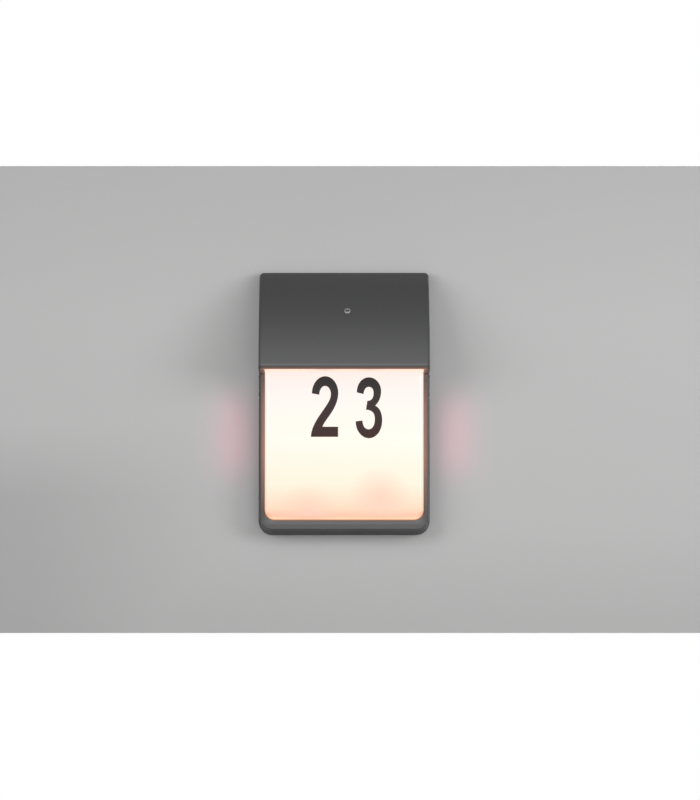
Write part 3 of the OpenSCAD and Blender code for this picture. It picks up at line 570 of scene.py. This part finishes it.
def lay(name, mesh, finish, body, stands_for=()):
    """Puts a finished mesh in the scene as a piece on a body."""
    mesh.materials.clear()
    mesh.materials.append(finish)
    piece = link(name, mesh)
    if stands_for:
        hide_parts(*stands_for)
    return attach(piece, body)


def wear(node, finish):
    """Gives a CAD node's object its finish."""
    for place in frame["nodes"][node].material_slots:
        place.material = finish


def merged(node):
    """A CAD node's loose triangles as one joined mesh."""
    work = bmesh.new()
    work.from_mesh(frame["nodes"][node].data)
    bmesh.ops.remove_doubles(work, verts=work.verts, dist=1e-6)
    work.verts.index_update()
    points = [vert.co.copy() for vert in work.verts]
    faces = [[vert.index for vert in face.verts] for face in work.faces]
    work.free()
    return points, faces


def islands(node):
    """A CAD node's separate solids, from left to right: each one's points and faces."""
    points, faces = merged(node)
    leader = list(range(len(points)))

    def top(i):
        while leader[i] != i:
            leader[i] = leader[leader[i]]
            i = leader[i]
        return i

    for face in faces:
        for other in face[1:]:
            leader[top(other)] = top(face[0])
    groups = {}
    for face in faces:
        groups.setdefault(top(face[0]), []).append(face)
    found = []
    for group in groups.values():
        used = sorted({i for face in group for i in face})
        place = {i: k for k, i in enumerate(used)}
        found.append(([points[i] for i in used], [[place[i] for i in face] for face in group]))
    return sorted(found, key=lambda solid: [round(c, 5) for c in middle_of(solid[0])])


def rounded_copy(node, name, finish, angle=32):
    """Replaces a CAD node by its own shape with its facets smoothed."""
    piece = link(name, smooth(mesh_of(name, *merged(node)), angle))
    even = piece.modifiers.new("even_normals", "WEIGHTED_NORMAL")
    even.keep_sharp = True
    return lay(name, baked(piece), finish, BODIES[node], (node,))


def lathe(name, rings, segments):
    """A closed turned mesh along Z from rings of (radius, height), top first.

    A radius may be a function of the angle.
    """
    points, faces = [(0, 0, rings[0][1])], []
    turns = [2 * math.pi * k / segments for k in range(segments)]
    for radius, height in rings:
        for turn in turns:
            reach = radius(turn, height) if callable(radius) else radius
            points.append((reach * math.cos(turn), reach * math.sin(turn), height))
    points.append((0, 0, rings[-1][1]))
    last = len(points) - 1
    for k in range(segments):
        after = (k + 1) % segments
        faces.append((0, 1 + k, 1 + after))
        for a in range(1, last - segments, segments):
            b = a + segments
            faces.append((a + k, b + k, b + after, a + after))
        faces.append((last, last - segments + after, last - segments + k))
    return mesh_of(name, points, faces)


# Screws


# Shank radius, head radius, head height and key width of each kind, in millimetres
M4 = (1.95, 4.0, 2.4, 2.5)
M3 = (1.45, 2.8, 1.8, 2.0)
M25 = (1.2, 2.2, 1.2, 1.5)
LOCK = (1.95, 3.8, 2.2, 3.0)


def screw_mesh(kind, long, look):
    """A socket pan-head screw with its head's top at 0 and its tip down at -long."""
    shank, head, rise, key = (value * MM for value in kind)
    pitch, depth = look.pitch * min(1, shank / (1.9 * MM) + 0.1), look.depth * shank / (1.95 * MM)

    def hexagon(scale):
        flat = key / 2 * scale
        return lambda turn, _: flat / math.cos((turn + math.pi / 6) % (math.pi / 3) - math.pi / 6)

    def thread(turn, height):
        phase = height / pitch + turn / (2 * math.pi)
        return shank - depth * (0.5 - 0.5 * math.cos(2 * math.pi * phase))

    socket = rise * 0.6
    rings = [(hexagon(0.25), -socket - 0.3 * MM), (hexagon(0.97), -socket)]
    rings += [(hexagon(1), -0.2 * MM), (hexagon(1.12), 0), (head * 0.7, 0)]
    rings += [(head * 0.88, -rise * 0.1), (head * 0.97, -rise * 0.3), (head, -rise * 0.55)]
    rings += [(head, -rise + 0.15 * MM), (head - 0.15 * MM, -rise), (shank, -rise)]
    rings.append((shank, -rise - 0.5 * MM))
    low, step = -long + 0.9 * MM, pitch / 4
    steps = max(1, int((-rise - 0.6 * MM - low) / step))
    rings += [(thread, -rise - 0.6 * MM - step * i) for i in range(steps)]
    rings += [(shank * 0.8, -long + 0.5 * MM), (shank * 0.62, -long)]
    return smooth(lathe("screw", rings, 24), 40)


def screw_places(node, axis):
    """Where each screw's head ends, which way it points, and how long the screw is."""
    places = []
    for points, _ in islands(node):
        middle = middle_of(points)
        out = axis if axis is not SIDEWAYS or middle.x > 0 else -axis
        aside = out.orthogonal().normalized()
        foot = Vector()
        for across in (aside, out.cross(aside)):
            reach = [point.dot(across) for point in points]
            foot += across * (min(reach) + max(reach)) / 2
        along = [point.dot(out) for point in points]
        places.append((foot + out * max(along), out.copy(), max(along) - min(along)))
    return places


def geometry_tree(name, **inputs):
    """A Geometry Nodes tree with its inputs, and what they hand on."""
    tree = bpy.data.node_groups.new(name, "GeometryNodeTree")
    kinds = {"Geometry": "Geometry", **inputs, "Copied": "Object", "Finish": "Material"}
    for key, kind in kinds.items():
        tree.interface.new_socket(key, in_out="INPUT", socket_type="NodeSocket" + kind)
    tree.interface.new_socket("Geometry", in_out="OUTPUT", socket_type="NodeSocketGeometry")
    return tree, add(tree, "NodeGroupInput").outputs


def copies_on_points(tree, given, points, **sockets):
    """Ends a tree with a real copy of its object on each point, in its finish."""
    one = add(tree, "GeometryNodeObjectInfo", {"Object": given["Copied"], "As Instance": True})
    sockets |= {"Points": points, "Instance": one.outputs["Geometry"]}
    placed = add(tree, "GeometryNodeInstanceOnPoints", sockets).outputs["Instances"]
    real = add(tree, "GeometryNodeRealizeInstances", {"Geometry": placed}).outputs["Geometry"]
    sockets = {"Geometry": real, "Material": given["Finish"]}
    ended = add(tree, "GeometryNodeSetMaterial", sockets).outputs["Geometry"]
    add(tree, "NodeGroupOutput", {"Geometry": ended})
    return tree


def grown(name, tree, mesh, copied, **values):
    """The plain mesh that a tree makes of a mesh's points and the mesh that it copies there."""
    one = link("one_of_" + name, copied)
    piece = link(name, mesh)
    maker = piece.modifiers.new("maker", "NODES")
    maker.node_group = tree
    values["Copied"] = one
    for item in tree.interface.items_tree:
        if item.in_out == "INPUT" and item.name in values:
            maker[item.identifier] = values[item.name]
    made = baked(piece)
    bpy.data.objects.remove(one)
    return made


def screw_tree():
    """Geometry Nodes that set a screw on each point, along its axis and turned at random."""
    tree, given = geometry_tree("screws_on_points", Seed="Int")
    axis = add(tree, "GeometryNodeInputNamedAttribute", {"Name": "axis"}, data_type="FLOAT_VECTOR")
    sockets = {"Vector": axis.outputs["Attribute"]}
    upright = add(tree, "FunctionNodeAlignRotationToVector", sockets, axis="Z").outputs[0]
    turn = add(tree, "FunctionNodeRandomValue", {"Seed": given["Seed"]}, data_type="FLOAT")
    about = add(tree, "ShaderNodeCombineXYZ", {"Z": times(turn.outputs[1], math.pi / 3)})
    spin = add(tree, "FunctionNodeEulerToRotation", {"Euler": about.outputs[0]}).outputs[0]
    sockets = {"Rotation": upright, "Rotate By": spin}
    both = add(tree, "FunctionNodeRotateRotation", sockets, rotation_space="LOCAL").outputs[0]
    return copies_on_points(tree, given, given["Geometry"], Rotation=both)


def drive_screws(node, kind, axis, finish, look, tree):
    """Replaces a node's screws by threaded ones in the same places."""
    places = screw_places(node, axis)
    mesh = mesh_of(node, [place for place, _, _ in places], [])
    ways = mesh.attributes.new("axis", "FLOAT_VECTOR", "POINT")
    ways.data.foreach_set("vector", [c for _, out, _ in places for c in out])
    name = "threaded_" + node
    one = screw_mesh(kind, places[0][2], look)
    made = grown(name, tree, mesh, one, Seed=look.seed, Finish=finish)
    lay(name, made, finish, BODIES[node], (node,))


# Stage


def lamp(name, where, target, power, width, height, hue=(1, 1, 1), spread=math.pi):
    """A soft rectangular lamp that looks at a point."""
    light = bpy.data.lights.new(name, "AREA")
    light.shape = "RECTANGLE"
    light.size, light.size_y = width, height
    light.energy, light.color, light.spread = power, hue, spread
    made = link(name, light)
    made.location = where
    made.rotation_euler = (Vector(target) - Vector(where)).to_track_quat("-Z", "Y").to_euler()
    made.visible_camera = False
    return made


def stage_sheet(name, corners, material):
    mesh = mesh_of(name, corners, [(0, 1, 2, 3)])
    mesh.materials.append(material)
    made = link(name, mesh)
    return made


def one_sided(made, *looks, **sockets):
    """Ends a stage material that is clear from behind, so that the back can be looked at."""
    tree = made.node_tree
    behind = add(tree, "ShaderNodeNewGeometry").outputs["Backfacing"]
    clear = add(tree, "ShaderNodeBsdfTransparent").outputs["BSDF"]
    sockets = {0: behind, 1: shader(made, *looks, **sockets), 2: clear}
    return close(made, add(tree, "ShaderNodeMixShader", sockets).outputs[0])


# Where the painted shade on the wall begins and is darkest, in metres, and from what to what share
DARK_CORNER_X, DARK_CORNER_Z = (-0.1, -0.33), (-0.03, -0.11, 0, 0.16)
DARK_TOP, DARK_FOOT = (0.08, 0.24, 0, 0.07), (-0.14, -0.23, 0, 0.07)


def wall_paint(look):
    """Matt wall paint with the fine stipple of a roller, and painted shade at its top, its foot and
    its lower left corner.
    """
    made, where = start("matt_wall_paint")
    x, _, z = axes(where)
    corner = times(ramp(x, *DARK_CORNER_X), ramp(z, *DARK_CORNER_Z))
    painted_shade = most(corner, ramp(z, *DARK_TOP), ramp(z, *DARK_FOOT))
    base = blend(painted_shade, look.wall_colour, BLACK)
    stipple = relief(noise(where, 2.5, 3), 0.02)
    return one_sided(made, base, 0.9, stipple, Specular_IOR_Level=0.2)


def seen_directly(tree):
    """1 for rays that reach the eye directly, in a gloss or in a glass, 0 for the rest."""
    path = add(tree, "ShaderNodeLightPath").outputs
    return most(path["Is Camera Ray"], path["Is Glossy Ray"], path["Is Transmission Ray"])


def floor_paint(look):
    """A pale matt floor that keeps its shade far from the lamps and under shadows."""
    made, where = start("pale_floor")
    speckle = mottled(noise(where, 40), look.floor_colour, 0.02)
    strength = times(seen_directly(made.node_tree), 0.65)
    return one_sided(made, speckle, 0.8, Emission_Color=speckle, Emission_Strength=strength)


# Each lamp: its place, power, width and height, in metres and watts, and where all of them aim
LAMPS = {
    "right_side_lamp": ((0.99, -0.99, 0.12), 5.9, 0.5, 0.5),
    "right_lamp": ((0.63, -1.23, 0.24), 3, 0.5, 0.5),
    "left_side_lamp": ((-0.99, -0.99, 0.12), 3.3, 0.5, 0.5),
    "left_lamp": ((-0.63, -1.23, 0.24), 3.6, 0.5, 0.5),
    "high_lamp": ((-0.11, -1.21, 0.7), 3.3, 1.2, 0.5),
    "front_lamp": ((0.15, -1.39, -0.12), 2.1, 0.5, 0.5),
    "low_lamp": ((0, -1.3, -0.52), 2.1, 1.1, 0.5),
    "back_lamp": ((0.3, 2.6, 0.6), 50, 1.6, 1.6),
    "back_right_lamp": ((1.25, 2.3, 0.5), 14, 0.8, 0.8),
    "back_left_lamp": ((-1.25, 2.3, 0.5), 11, 0.8, 0.8),
}
LAMP_AIM = (0, -0.03, 0)
# The lamps of the glow beside the panel: place, power, width, height, colour and spread
GLOW_PLACE = Vector((0.118, -0.04, -0.044))
GLOW_LAMP = (0.0031, 0.02, 0.076, (1.0, 0.12, 0.27), math.radians(90))


class WALLLIGHT_OT_stage(bpy.types.Operator):
    """Makes the camera, the wall, the floor, the lamps and the white surroundings"""

    bl_idname = "wall_light.stage"
    bl_label = "Stage"

    def execute(self, context):
        look = context.scene.wall_light.stage
        scene = context.scene
        scene.view_settings.view_transform = "Standard"

        camera = link("camera", bpy.data.cameras.new("camera"))
        camera.data.lens = look.lens
        camera.data.clip_end = 100
        aim = Vector((look.aim_x, 0, -look.aim_drop))
        back = Vector((0, -math.cos(look.elevation), math.sin(look.elevation)))
        camera.location = aim + look.distance * back
        camera.rotation_euler = (aim - camera.location).to_track_quat("-Z", "Y").to_euler()
        scene.camera = camera

        behind, half = 0.4 * MM, 0.7
        top, low = look.wall_top, look.wall_top - look.wall_height
        corners = (-half, low), (half, low), (half, top), (-half, top)
        wall = stage_sheet("wall", [(x, behind, z) for x, z in corners], wall_paint(look))
        wall.visible_shadow = wall.visible_diffuse = False
        deep, wide = -1.4, 6
        corners = (-wide, -wide), (wide, -wide), (wide, wide), (-wide, wide)
        stage_sheet("floor", [(x, y, deep) for x, y in corners], floor_paint(look))

        for name, (where, power, width, height) in LAMPS.items():
            lamp(name, where, LAMP_AIM, power, width, height)
        for side in (-1, 1):
            place = Vector((side * GLOW_PLACE.x, *GLOW_PLACE.yz))
            glow = lamp("panel_spill", place, place + TOWARDS_WALL, *GLOW_LAMP)
            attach(glow, LUMINAIRE)

        world = bpy.data.worlds.new("studio")
        scene.world = world
        world.use_nodes = True
        tree = world.node_tree
        tree.nodes.clear()
        # The white surroundings darken towards the ceiling
        up = axes(add(tree, "ShaderNodeTexCoord").outputs["Generated"])[2]
        sockets = {0: seen_directly(tree)}
        for socket, strength in ((1, look.fill), (2, ramp(up, 0.2, 0.85, 1, 0.25))):
            light = add(tree, "ShaderNodeBackground", {"Color": WHITE, "Strength": strength})
            sockets[socket] = light.outputs[0]
        mix = add(tree, "ShaderNodeMixShader", sockets).outputs[0]
        add(tree, "ShaderNodeOutputWorld", {"Surface": mix})
        return {"FINISHED"}


# Pieces


class WALLLIGHT_OT_castings(bpy.types.Operator):
    """Coats the hood and the housing"""

    bl_idname = "wall_light.castings"
    bl_label = "Castings"

    def execute(self, context):
        look = context.scene.wall_light.casting
        # Each casting: its node, its edges' radius, where its painted shade begins aside, where its
        # front ends, and the share of its colour that it keeps, in mm
        for node, edge, rim, front, keep in (
            ("hood", 2.4, 87.0, -1, 0.8),
            ("base_housing", 0.8, 86.9, -39.2, 0.1),
        ):
            coat = powder_coat(node, edge, look, rim, front, keep)
            rounded_copy(node, "coated_" + node, coat, 25)
        return {"FINISHED"}


class WALLLIGHT_OT_panel(bpy.types.Operator):
    """Lights the opal panel and finishes its seals and the gasket"""

    bl_idname = "wall_light.panel"
    bl_label = "Lit panel"

    def execute(self, context):
        rounded_copy("diffuser", "lit_panel", lit_opal(context.scene.wall_light.panel), 25)
        # Silicone rubber, moulded: soft grey, slightly greasy sheen
        silicone = surface("grey_silicone", "#8D8F92", 0.45, 0.8, 0.01)
        for node in ("diffuser_seal", "shelf_seal", "hood_seal"):
            wear(node, silicone)
        wear("wall_gasket", foam())
        return {"FINISHED"}


# Outlines of the digits in millimetres from their left edge and foot. A stretch is the end of
# a straight line, or the two handles and the end of a curve: X and Y of each.
TWO = [
    (1, 45.6),
    (1.2, 55.8, 7.3, 63.7, 14.8, 63.7),
    (22.3, 63.7, 28.3, 55.8, 28.3, 46),
    (28.3, 38, 24.5, 30.2, 20.2, 23.8),
    (17.2, 19.3, 13.5, 14.9, 12, 10.6),
    (28.1, 10.6),
    (28.1, 0),
    (0, 0),
    (0.5, 10.2, 6.2, 18.7, 12.7, 28),
    (17.7, 35.4, 20.6, 39.6, 20.6, 44.9),
    (20.7, 49.6, 18.1, 53.5, 14.8, 53.5),
    (11.5, 53.5, 8.8, 49.6, 8.7, 44.2),
]
THREE = [
    (1.2, 46.7),
    (1.2, 56, 6.8, 62.6, 13.8, 62.6),
    (20.7, 62.6, 26.3, 56, 26.3, 47.8),
    (26.2, 41.7, 24.1, 36.5, 20.2, 32.8),
    (24.7, 30.7, 27.4, 25.4, 27.4, 17.2),
    (27.4, 6.5, 21.3, -1.5, 13.7, -1.5),
    (6.1, -1.5, 0, 6.5, 0, 16.3),
    (7, 17.1),
    (7.4, 11.5, 9.5, 7.9, 13.5, 7.9),
    (17, 7.9, 19.8, 11.8, 19.8, 18.8),
    (19.8, 26, 15.8, 28.4, 10.7, 28.4),
    (12, 37.8),
    (16.3, 37.8, 18.5, 40.4, 18.5, 46.5),
    (18.5, 49.8, 16.6, 52.5, 13.6, 52.5),
    (10.5, 52.5, 8.6, 49.6, 8.2, 44.9),
]


# How much wider than their outlines the digits are cut
DIGIT_STRETCH = 1.015


def digit_outline(stretches, steps=10):
    """The points of an outline of lines and curves."""
    points = []
    for stretch in stretches:
        if len(stretch) == 2:
            points.append(stretch)
            continue
        ends = (*points[-1], *stretch)
        for i in range(1, steps + 1):
            t = i / steps
            weights = ((1 - t) ** 3, 3 * t * (1 - t) ** 2, 3 * t * t * (1 - t), t**3)
            points.append(tuple(sum(w * c for w, c in zip(weights, ends[k::2])) for k in (0, 1)))
    return points


def digit_mesh(name, stretches, left, look):
    """A film digit on the panel's front, with its points marked where they lie on the cut edge."""
    work = bmesh.new()
    face_y = PANEL_FRONT - look.thickness
    verts = [
        work.verts.new((left + x * DIGIT_STRETCH * MM, face_y, look.foot + z * MM))
        for x, z in digit_outline(stretches)
    ]
    face = work.faces.new(verts)
    face.normal_update()
    if face.normal.dot(OUTWARDS) < 0:
        face.normal_flip()
    bmesh.ops.inset_region(
        work, faces=[face], thickness=0.5 * MM, use_even_offset=True, use_boundary=True
    )
    rim = work.verts.layers.float.new("rim")
    # The cut edge is made face by face, because an extrusion's order varies from run to run
    edge = [e for e in work.edges if e.is_boundary]
    feet = {}
    for vert in [v for v in work.verts if v.is_boundary]:
        feet[vert] = work.verts.new((vert.co.x, PANEL_FRONT, vert.co.z))
        vert[rim] = feet[vert][rim] = 1
    for start, end in [e.verts for e in edge]:
        work.faces.new((start, end, feet[end], feet[start]))
    bmesh.ops.triangulate(work, faces=[f for f in work.faces if len(f.verts) > 4])
    bmesh.ops.recalc_face_normals(work, faces=work.faces)
    return mesh_from(work, name)


class WALLLIGHT_OT_number(bpy.types.Operator):
    """Cuts the house number from film and lays it on the panel"""

    bl_idname = "wall_light.number"
    bl_label = "House number"

    def execute(self, context):
        look = context.scene.wall_light.number
        film = number_film(look)
        digits = ("digit_two", TWO, look.first_x), ("digit_three", THREE, look.second_x)
        for name, stretches, left in digits:
            mesh = digit_mesh(name, stretches, left, look)
            lay(name, mesh, film, LUMINAIRE)
        return {"FINISHED"}


class WALLLIGHT_OT_bracket(bpy.types.Operator):
    """Finishes the steel strap and its locking screws, and all the housing's screws"""

    bl_idname = "wall_light.bracket"
    bl_label = "Bracket and screws"

    def execute(self, context):
        look = context.scene.wall_light.screw
        zinc = zinc_plate("zinc_plated_steel", "#AEB2B8", "#C9CBCD", "#CDC9BE")
        # The locking screws show beside the rails, so their plating is passivated black
        black_zinc = zinc_plate("black_zinc_plated_steel", "#2C2D2F", "#343537", "#38383A")
        rounded_copy("wall_bracket", "plated_strap", zinc, 25)
        rounded_copy("terminal_screws", "plated_terminal_screws", zinc)
        rounded_copy("earth_screw", "brass_earth_screw", brass())
        tree = screw_tree()
        for node, kind, axis in (
            ("hood_screws", M4, TOWARDS_WALL),
            ("diffuser_screws", M3, TOWARDS_WALL),
            ("led_board_screws", M3, OUTWARDS),
            ("driver_screws", M3, OUTWARDS),
            ("terminal_block_screws", M3, TOWARDS_WALL),
            ("locking_screws", LOCK, SIDEWAYS),
            ("sensor_screws", M25, -sensor_axis()),
        ):
            finish = black_zinc if node == "locking_screws" else zinc
            drive_screws(node, kind, axis, finish, look, tree)
        return {"FINISHED"}


def sensor_axis():
    """The way out of the hood along the sensor, from its board to its window."""
    board, window = merged("sensor_board")[0], merged("sensor_window")[0]
    return (middle_of(window) - middle_of(board)).normalized()


def led_tree():
    """Geometry Nodes that set an LED on each point of a grid that faces the viewer."""
    kinds = {"Columns": "Int", "Rows": "Int", "Width": "Float", "Height": "Float"}
    tree, given = geometry_tree("led_array", **kinds, Middle="Vector")
    sockets = {"Size X": given["Width"], "Size Y": given["Height"]}
    sockets |= {"Vertices X": given["Columns"], "Vertices Y": given["Rows"]}
    grid = add(tree, "GeometryNodeMeshGrid", sockets).outputs["Mesh"]
    upright = (math.pi / 2, 0, 0)
    sockets = {"Geometry": grid, "Translation": given["Middle"], "Rotation": upright}
    stood = add(tree, "GeometryNodeTransform", sockets).outputs["Geometry"]
    return copies_on_points(tree, given, stood)


# How far the phosphor stands out of an LED's package
LENS_RISE = 0.06 * MM


def led_body(look, tall):
    """An LED's white package, its front edges eased."""
    work = bmesh.new()
    bmesh.ops.create_cube(work, size=1)
    for vert in work.verts:
        vert.co = (vert.co.x * look.width, (vert.co.y - 0.5) * tall, vert.co.z * look.height)
    front = [e for e in work.edges if all(v.co.y < -tall / 2 for v in e.verts)]
    bmesh.ops.bevel(work, geom=front, offset=0.12 * MM, segments=1, affect="EDGES")
    return mesh_from(work, "led_body")


def led_lens(tall):
    """The low dome of phosphor in an LED's middle."""
    radius, rise = 1.15 * MM, LENS_RISE
    rings = [(radius * 0.4, 0), (radius * 0.8, -rise * 0.4), (radius, -rise), (radius, -3 * rise)]
    mesh = smooth(lathe("led_lens", rings, 12), 60)
    for vert in mesh.vertices:
        x, y, z = vert.co
        vert.co = (x, -z - tall, y)
    mesh.flip_normals()
    return mesh


class WALLLIGHT_OT_light_source(bpy.types.Operator):
    """Makes the LEDs and finishes their board, its connector and the white reflector"""

    bl_idname = "wall_light.light_source"
    bl_label = "Light source"

    def execute(self, context):
        look = context.scene.wall_light.light
        # PBT, moulded white: matt, so that it spreads the light
        white = surface("white_pbt", "#EDEDEA", 0.5, 0.6, 0.006)
        rounded_copy("reflector", "white_reflector", white)
        rounded_copy("led_connector", "white_connector", white)
        wear("led_board", solder_mask("white_solder_mask", "#E9EAE8", "#F1F1EE", 7))
        # Silicone over yellow phosphor: smooth, with a faint cloud of powder
        phosphor = surface("phosphor_silicone", "#E8CF6A", 0.25, 0.3, 0.004, patch=0.8)
        low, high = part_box("led_chips")
        tall = high.y - low.y
        middle = (low + high) / 2
        middle.y = high.y
        tree = led_tree()
        grid = {"Columns": look.columns, "Rows": look.rows, "Middle": middle}
        grid |= {"Width": high.x - low.x - look.width, "Height": high.z - low.z - look.height}
        for name, one, finish, slot in (
            ("led_packages", led_body(look, tall - LENS_RISE), white, "white_plastic"),
            ("led_phosphor", led_lens(tall), phosphor, "phosphor"),
        ):
            made = grown(name, tree, mesh_of(name, [middle], []), one, Finish=finish, **grid)
            lay(name, made, finish, LUMINAIRE, ("led_chips",))
        return {"FINISHED"}


class WALLLIGHT_OT_wiring(bpy.types.Operator):
    """Finishes the driver, the terminal block, the grommet and the leads"""

    bl_idname = "wall_light.wiring"
    bl_label = "Wiring"

    def execute(self, context):
        # Polycarbonate, moulded white: a fine spark-eroded grain
        case = surface("white_polycarbonate", "#E4E4E0", 0.42, 0.35, 0.01)
        rounded_copy("led_driver", "driver_case", case)
        # Polyamide 66, natural: waxy and a little see-through at its edges
        milky = {"Subsurface_Weight": 0.3, "Subsurface_Scale": 1.5 * MM}
        polyamide = surface("natural_polyamide", "#DAD8CC", 0.4, 1.2, 0.008, **milky)
        rounded_copy("terminal_block", "terminal_body", polyamide)
        # Natural rubber, moulded: black and dull
        rubber = surface("black_rubber", "#1D1D1E", 0.6, 0.5, 0.015)
        rounded_copy("lead_grommet", "rubber_grommet", rubber)
        for node, pair in (
            ("mains_leads", ("#5A2E1C", "#2A4F9E")),
            ("led_leads", ("#A3201B", "#1E1E1F")),
            ("sensor_leads", ("#2F56B0", "#C9C9C4")),
        ):
            for name, code, (points, faces) in zip(("first", "second"), pair, islands(node)):
                name = f"{name}_of_{node}"
                insulation = lead_pvc(name + "_pvc", code)
                mesh = smooth(mesh_of(name, points, faces), 60)
                lay(name, mesh, insulation, LUMINAIRE, (node,))
        stripes = lead_pvc("green_yellow_pvc", "#3F8A2E", "#E3C92B")
        rounded_copy("earth_wire", "striped_earth_wire", stripes, 60)
        return {"FINISHED"}


class WALLLIGHT_OT_sensor(bpy.types.Operator):
    """Makes the dusk sensor's window and finishes what stands behind it"""

    bl_idname = "wall_light.sensor"
    bl_label = "Dusk sensor"

    def execute(self, context):
        look = context.scene.wall_light.sensor
        out = sensor_axis()
        points = merged("sensor_window")[0]
        middle = middle_of(points)
        front = middle + out * (max(point.dot(out) for point in points) - middle.dot(out))

        def turned(name, finish, rings, aside=0.0, segments=48, stands_for=()):
            """A piece on the sensor's axis from rings of (radius, millimetres above the ring)."""
            rings = [(radius, look.proud + up * MM) for radius, up in rings]
            mesh = smooth(lathe(name, rings, segments), 50)
            stand = out.to_track_quat("Z", "X").to_matrix().to_4x4()
            stand.translation = front + SIDEWAYS * aside
            mesh.transform(stand)
            lay(name, mesh, finish, LUMINAIRE, stands_for)

        radius, lens = look.radius, look.lens_radius
        inside = radius - look.rim
        # Polycarbonate, spark-eroded: frosted, with the light soft in it
        frosted = surface("frosted_polycarbonate", "#A9A9A7", 0.5, 0.3, 0.01, Coat_Weight=0.2)
        ring = [(inside, -0.4), (inside, -0.06), (inside + 0.1 * MM, 0), (radius - 0.3 * MM, -0.03)]
        ring += [(radius - 0.08 * MM, -0.12), (radius, -0.35), (radius, -3.25)]
        turned("window_ring", frosted, ring, stands_for=("sensor_window",))
        # Tinted polycarbonate: a dull grey floor behind the two lenses
        tinted = surface("tinted_polycarbonate", "#7C7C7E", 0.4, 0.3, 0.006)
        rim = inside - 0.02 * MM
        turned("window_disc", tinted, [(inside * 0.8, -0.25), (rim, -0.3), (rim, -0.6)])
        # Smoked polycarbonate: dark and glass-smooth
        smoked = surface("smoked_polycarbonate", "#3E3E40", 0.12, 0.8, 0.002, IOR=1.58)
        dome = [(lens * 0.4, 0.1), (lens * 0.75, 0.03), (lens, -0.1), (lens, -0.5)]
        for name, side in (("left_lens", -1), ("right_lens", 1)):
            turned(name, smoked, dome, side * look.lens_gap / 2, 24)
        black = surface("black_abs", "#19191A", 0.5, 0.5, 0.012)
        rounded_copy("sensor_holder", "black_holder", black)
        mask = solder_mask("green_solder_mask", "#17512F", "#2B7446", 2.2)
        rounded_copy("sensor_board", "green_board", mask)
        rounded_copy("photocell", "coated_photocell", photocell_face())
        return {"FINISHED"}


class WALLLIGHT_PT_pieces(bpy.types.Panel):
    """Lists the stage and the pieces"""

    bl_label = "Wall light"
    bl_idname = "WALLLIGHT_PT_pieces"
    bl_space_type = "VIEW_3D"
    bl_region_type = "UI"
    bl_category = "Wall light"

    def draw(self, context):
        for item in OPERATORS:
            self.layout.operator(item.bl_idname)
        for name in WallLightSettings.__annotations__:
            part = getattr(context.scene.wall_light, name)
            box = self.layout.box()
            box.label(text=name.capitalize())
            for setting in part.__annotations__:
                box.prop(part, setting)


SETTINGS = [StageSettings, CastingSettings, PanelSettings, NumberSettings]
SETTINGS += [ScrewSettings, LightSourceSettings, SensorSettings, WallLightSettings]
OPERATORS = [
    WALLLIGHT_OT_stage,
    WALLLIGHT_OT_castings,
    WALLLIGHT_OT_panel,
    WALLLIGHT_OT_number,
    WALLLIGHT_OT_bracket,
    WALLLIGHT_OT_light_source,
    WALLLIGHT_OT_wiring,
    WALLLIGHT_OT_sensor,
]
CLASSES = [*SETTINGS, *OPERATORS, WALLLIGHT_PT_pieces]


def register():
    for item in CLASSES:
        bpy.utils.register_class(item)
    bpy.types.Scene.wall_light = PointerProperty(type=WallLightSettings)


def unregister():
    del bpy.types.Scene.wall_light
    for item in reversed(CLASSES):
        bpy.utils.unregister_class(item)


def main():
    register()
    bpy.ops.wall_light.stage()
    bpy.ops.wall_light.castings()
    bpy.ops.wall_light.panel()
    bpy.ops.wall_light.number()
    bpy.ops.wall_light.bracket()
    bpy.ops.wall_light.light_source()
    bpy.ops.wall_light.wiring()
    bpy.ops.wall_light.sensor()


if __name__ == "__main__":
    main()
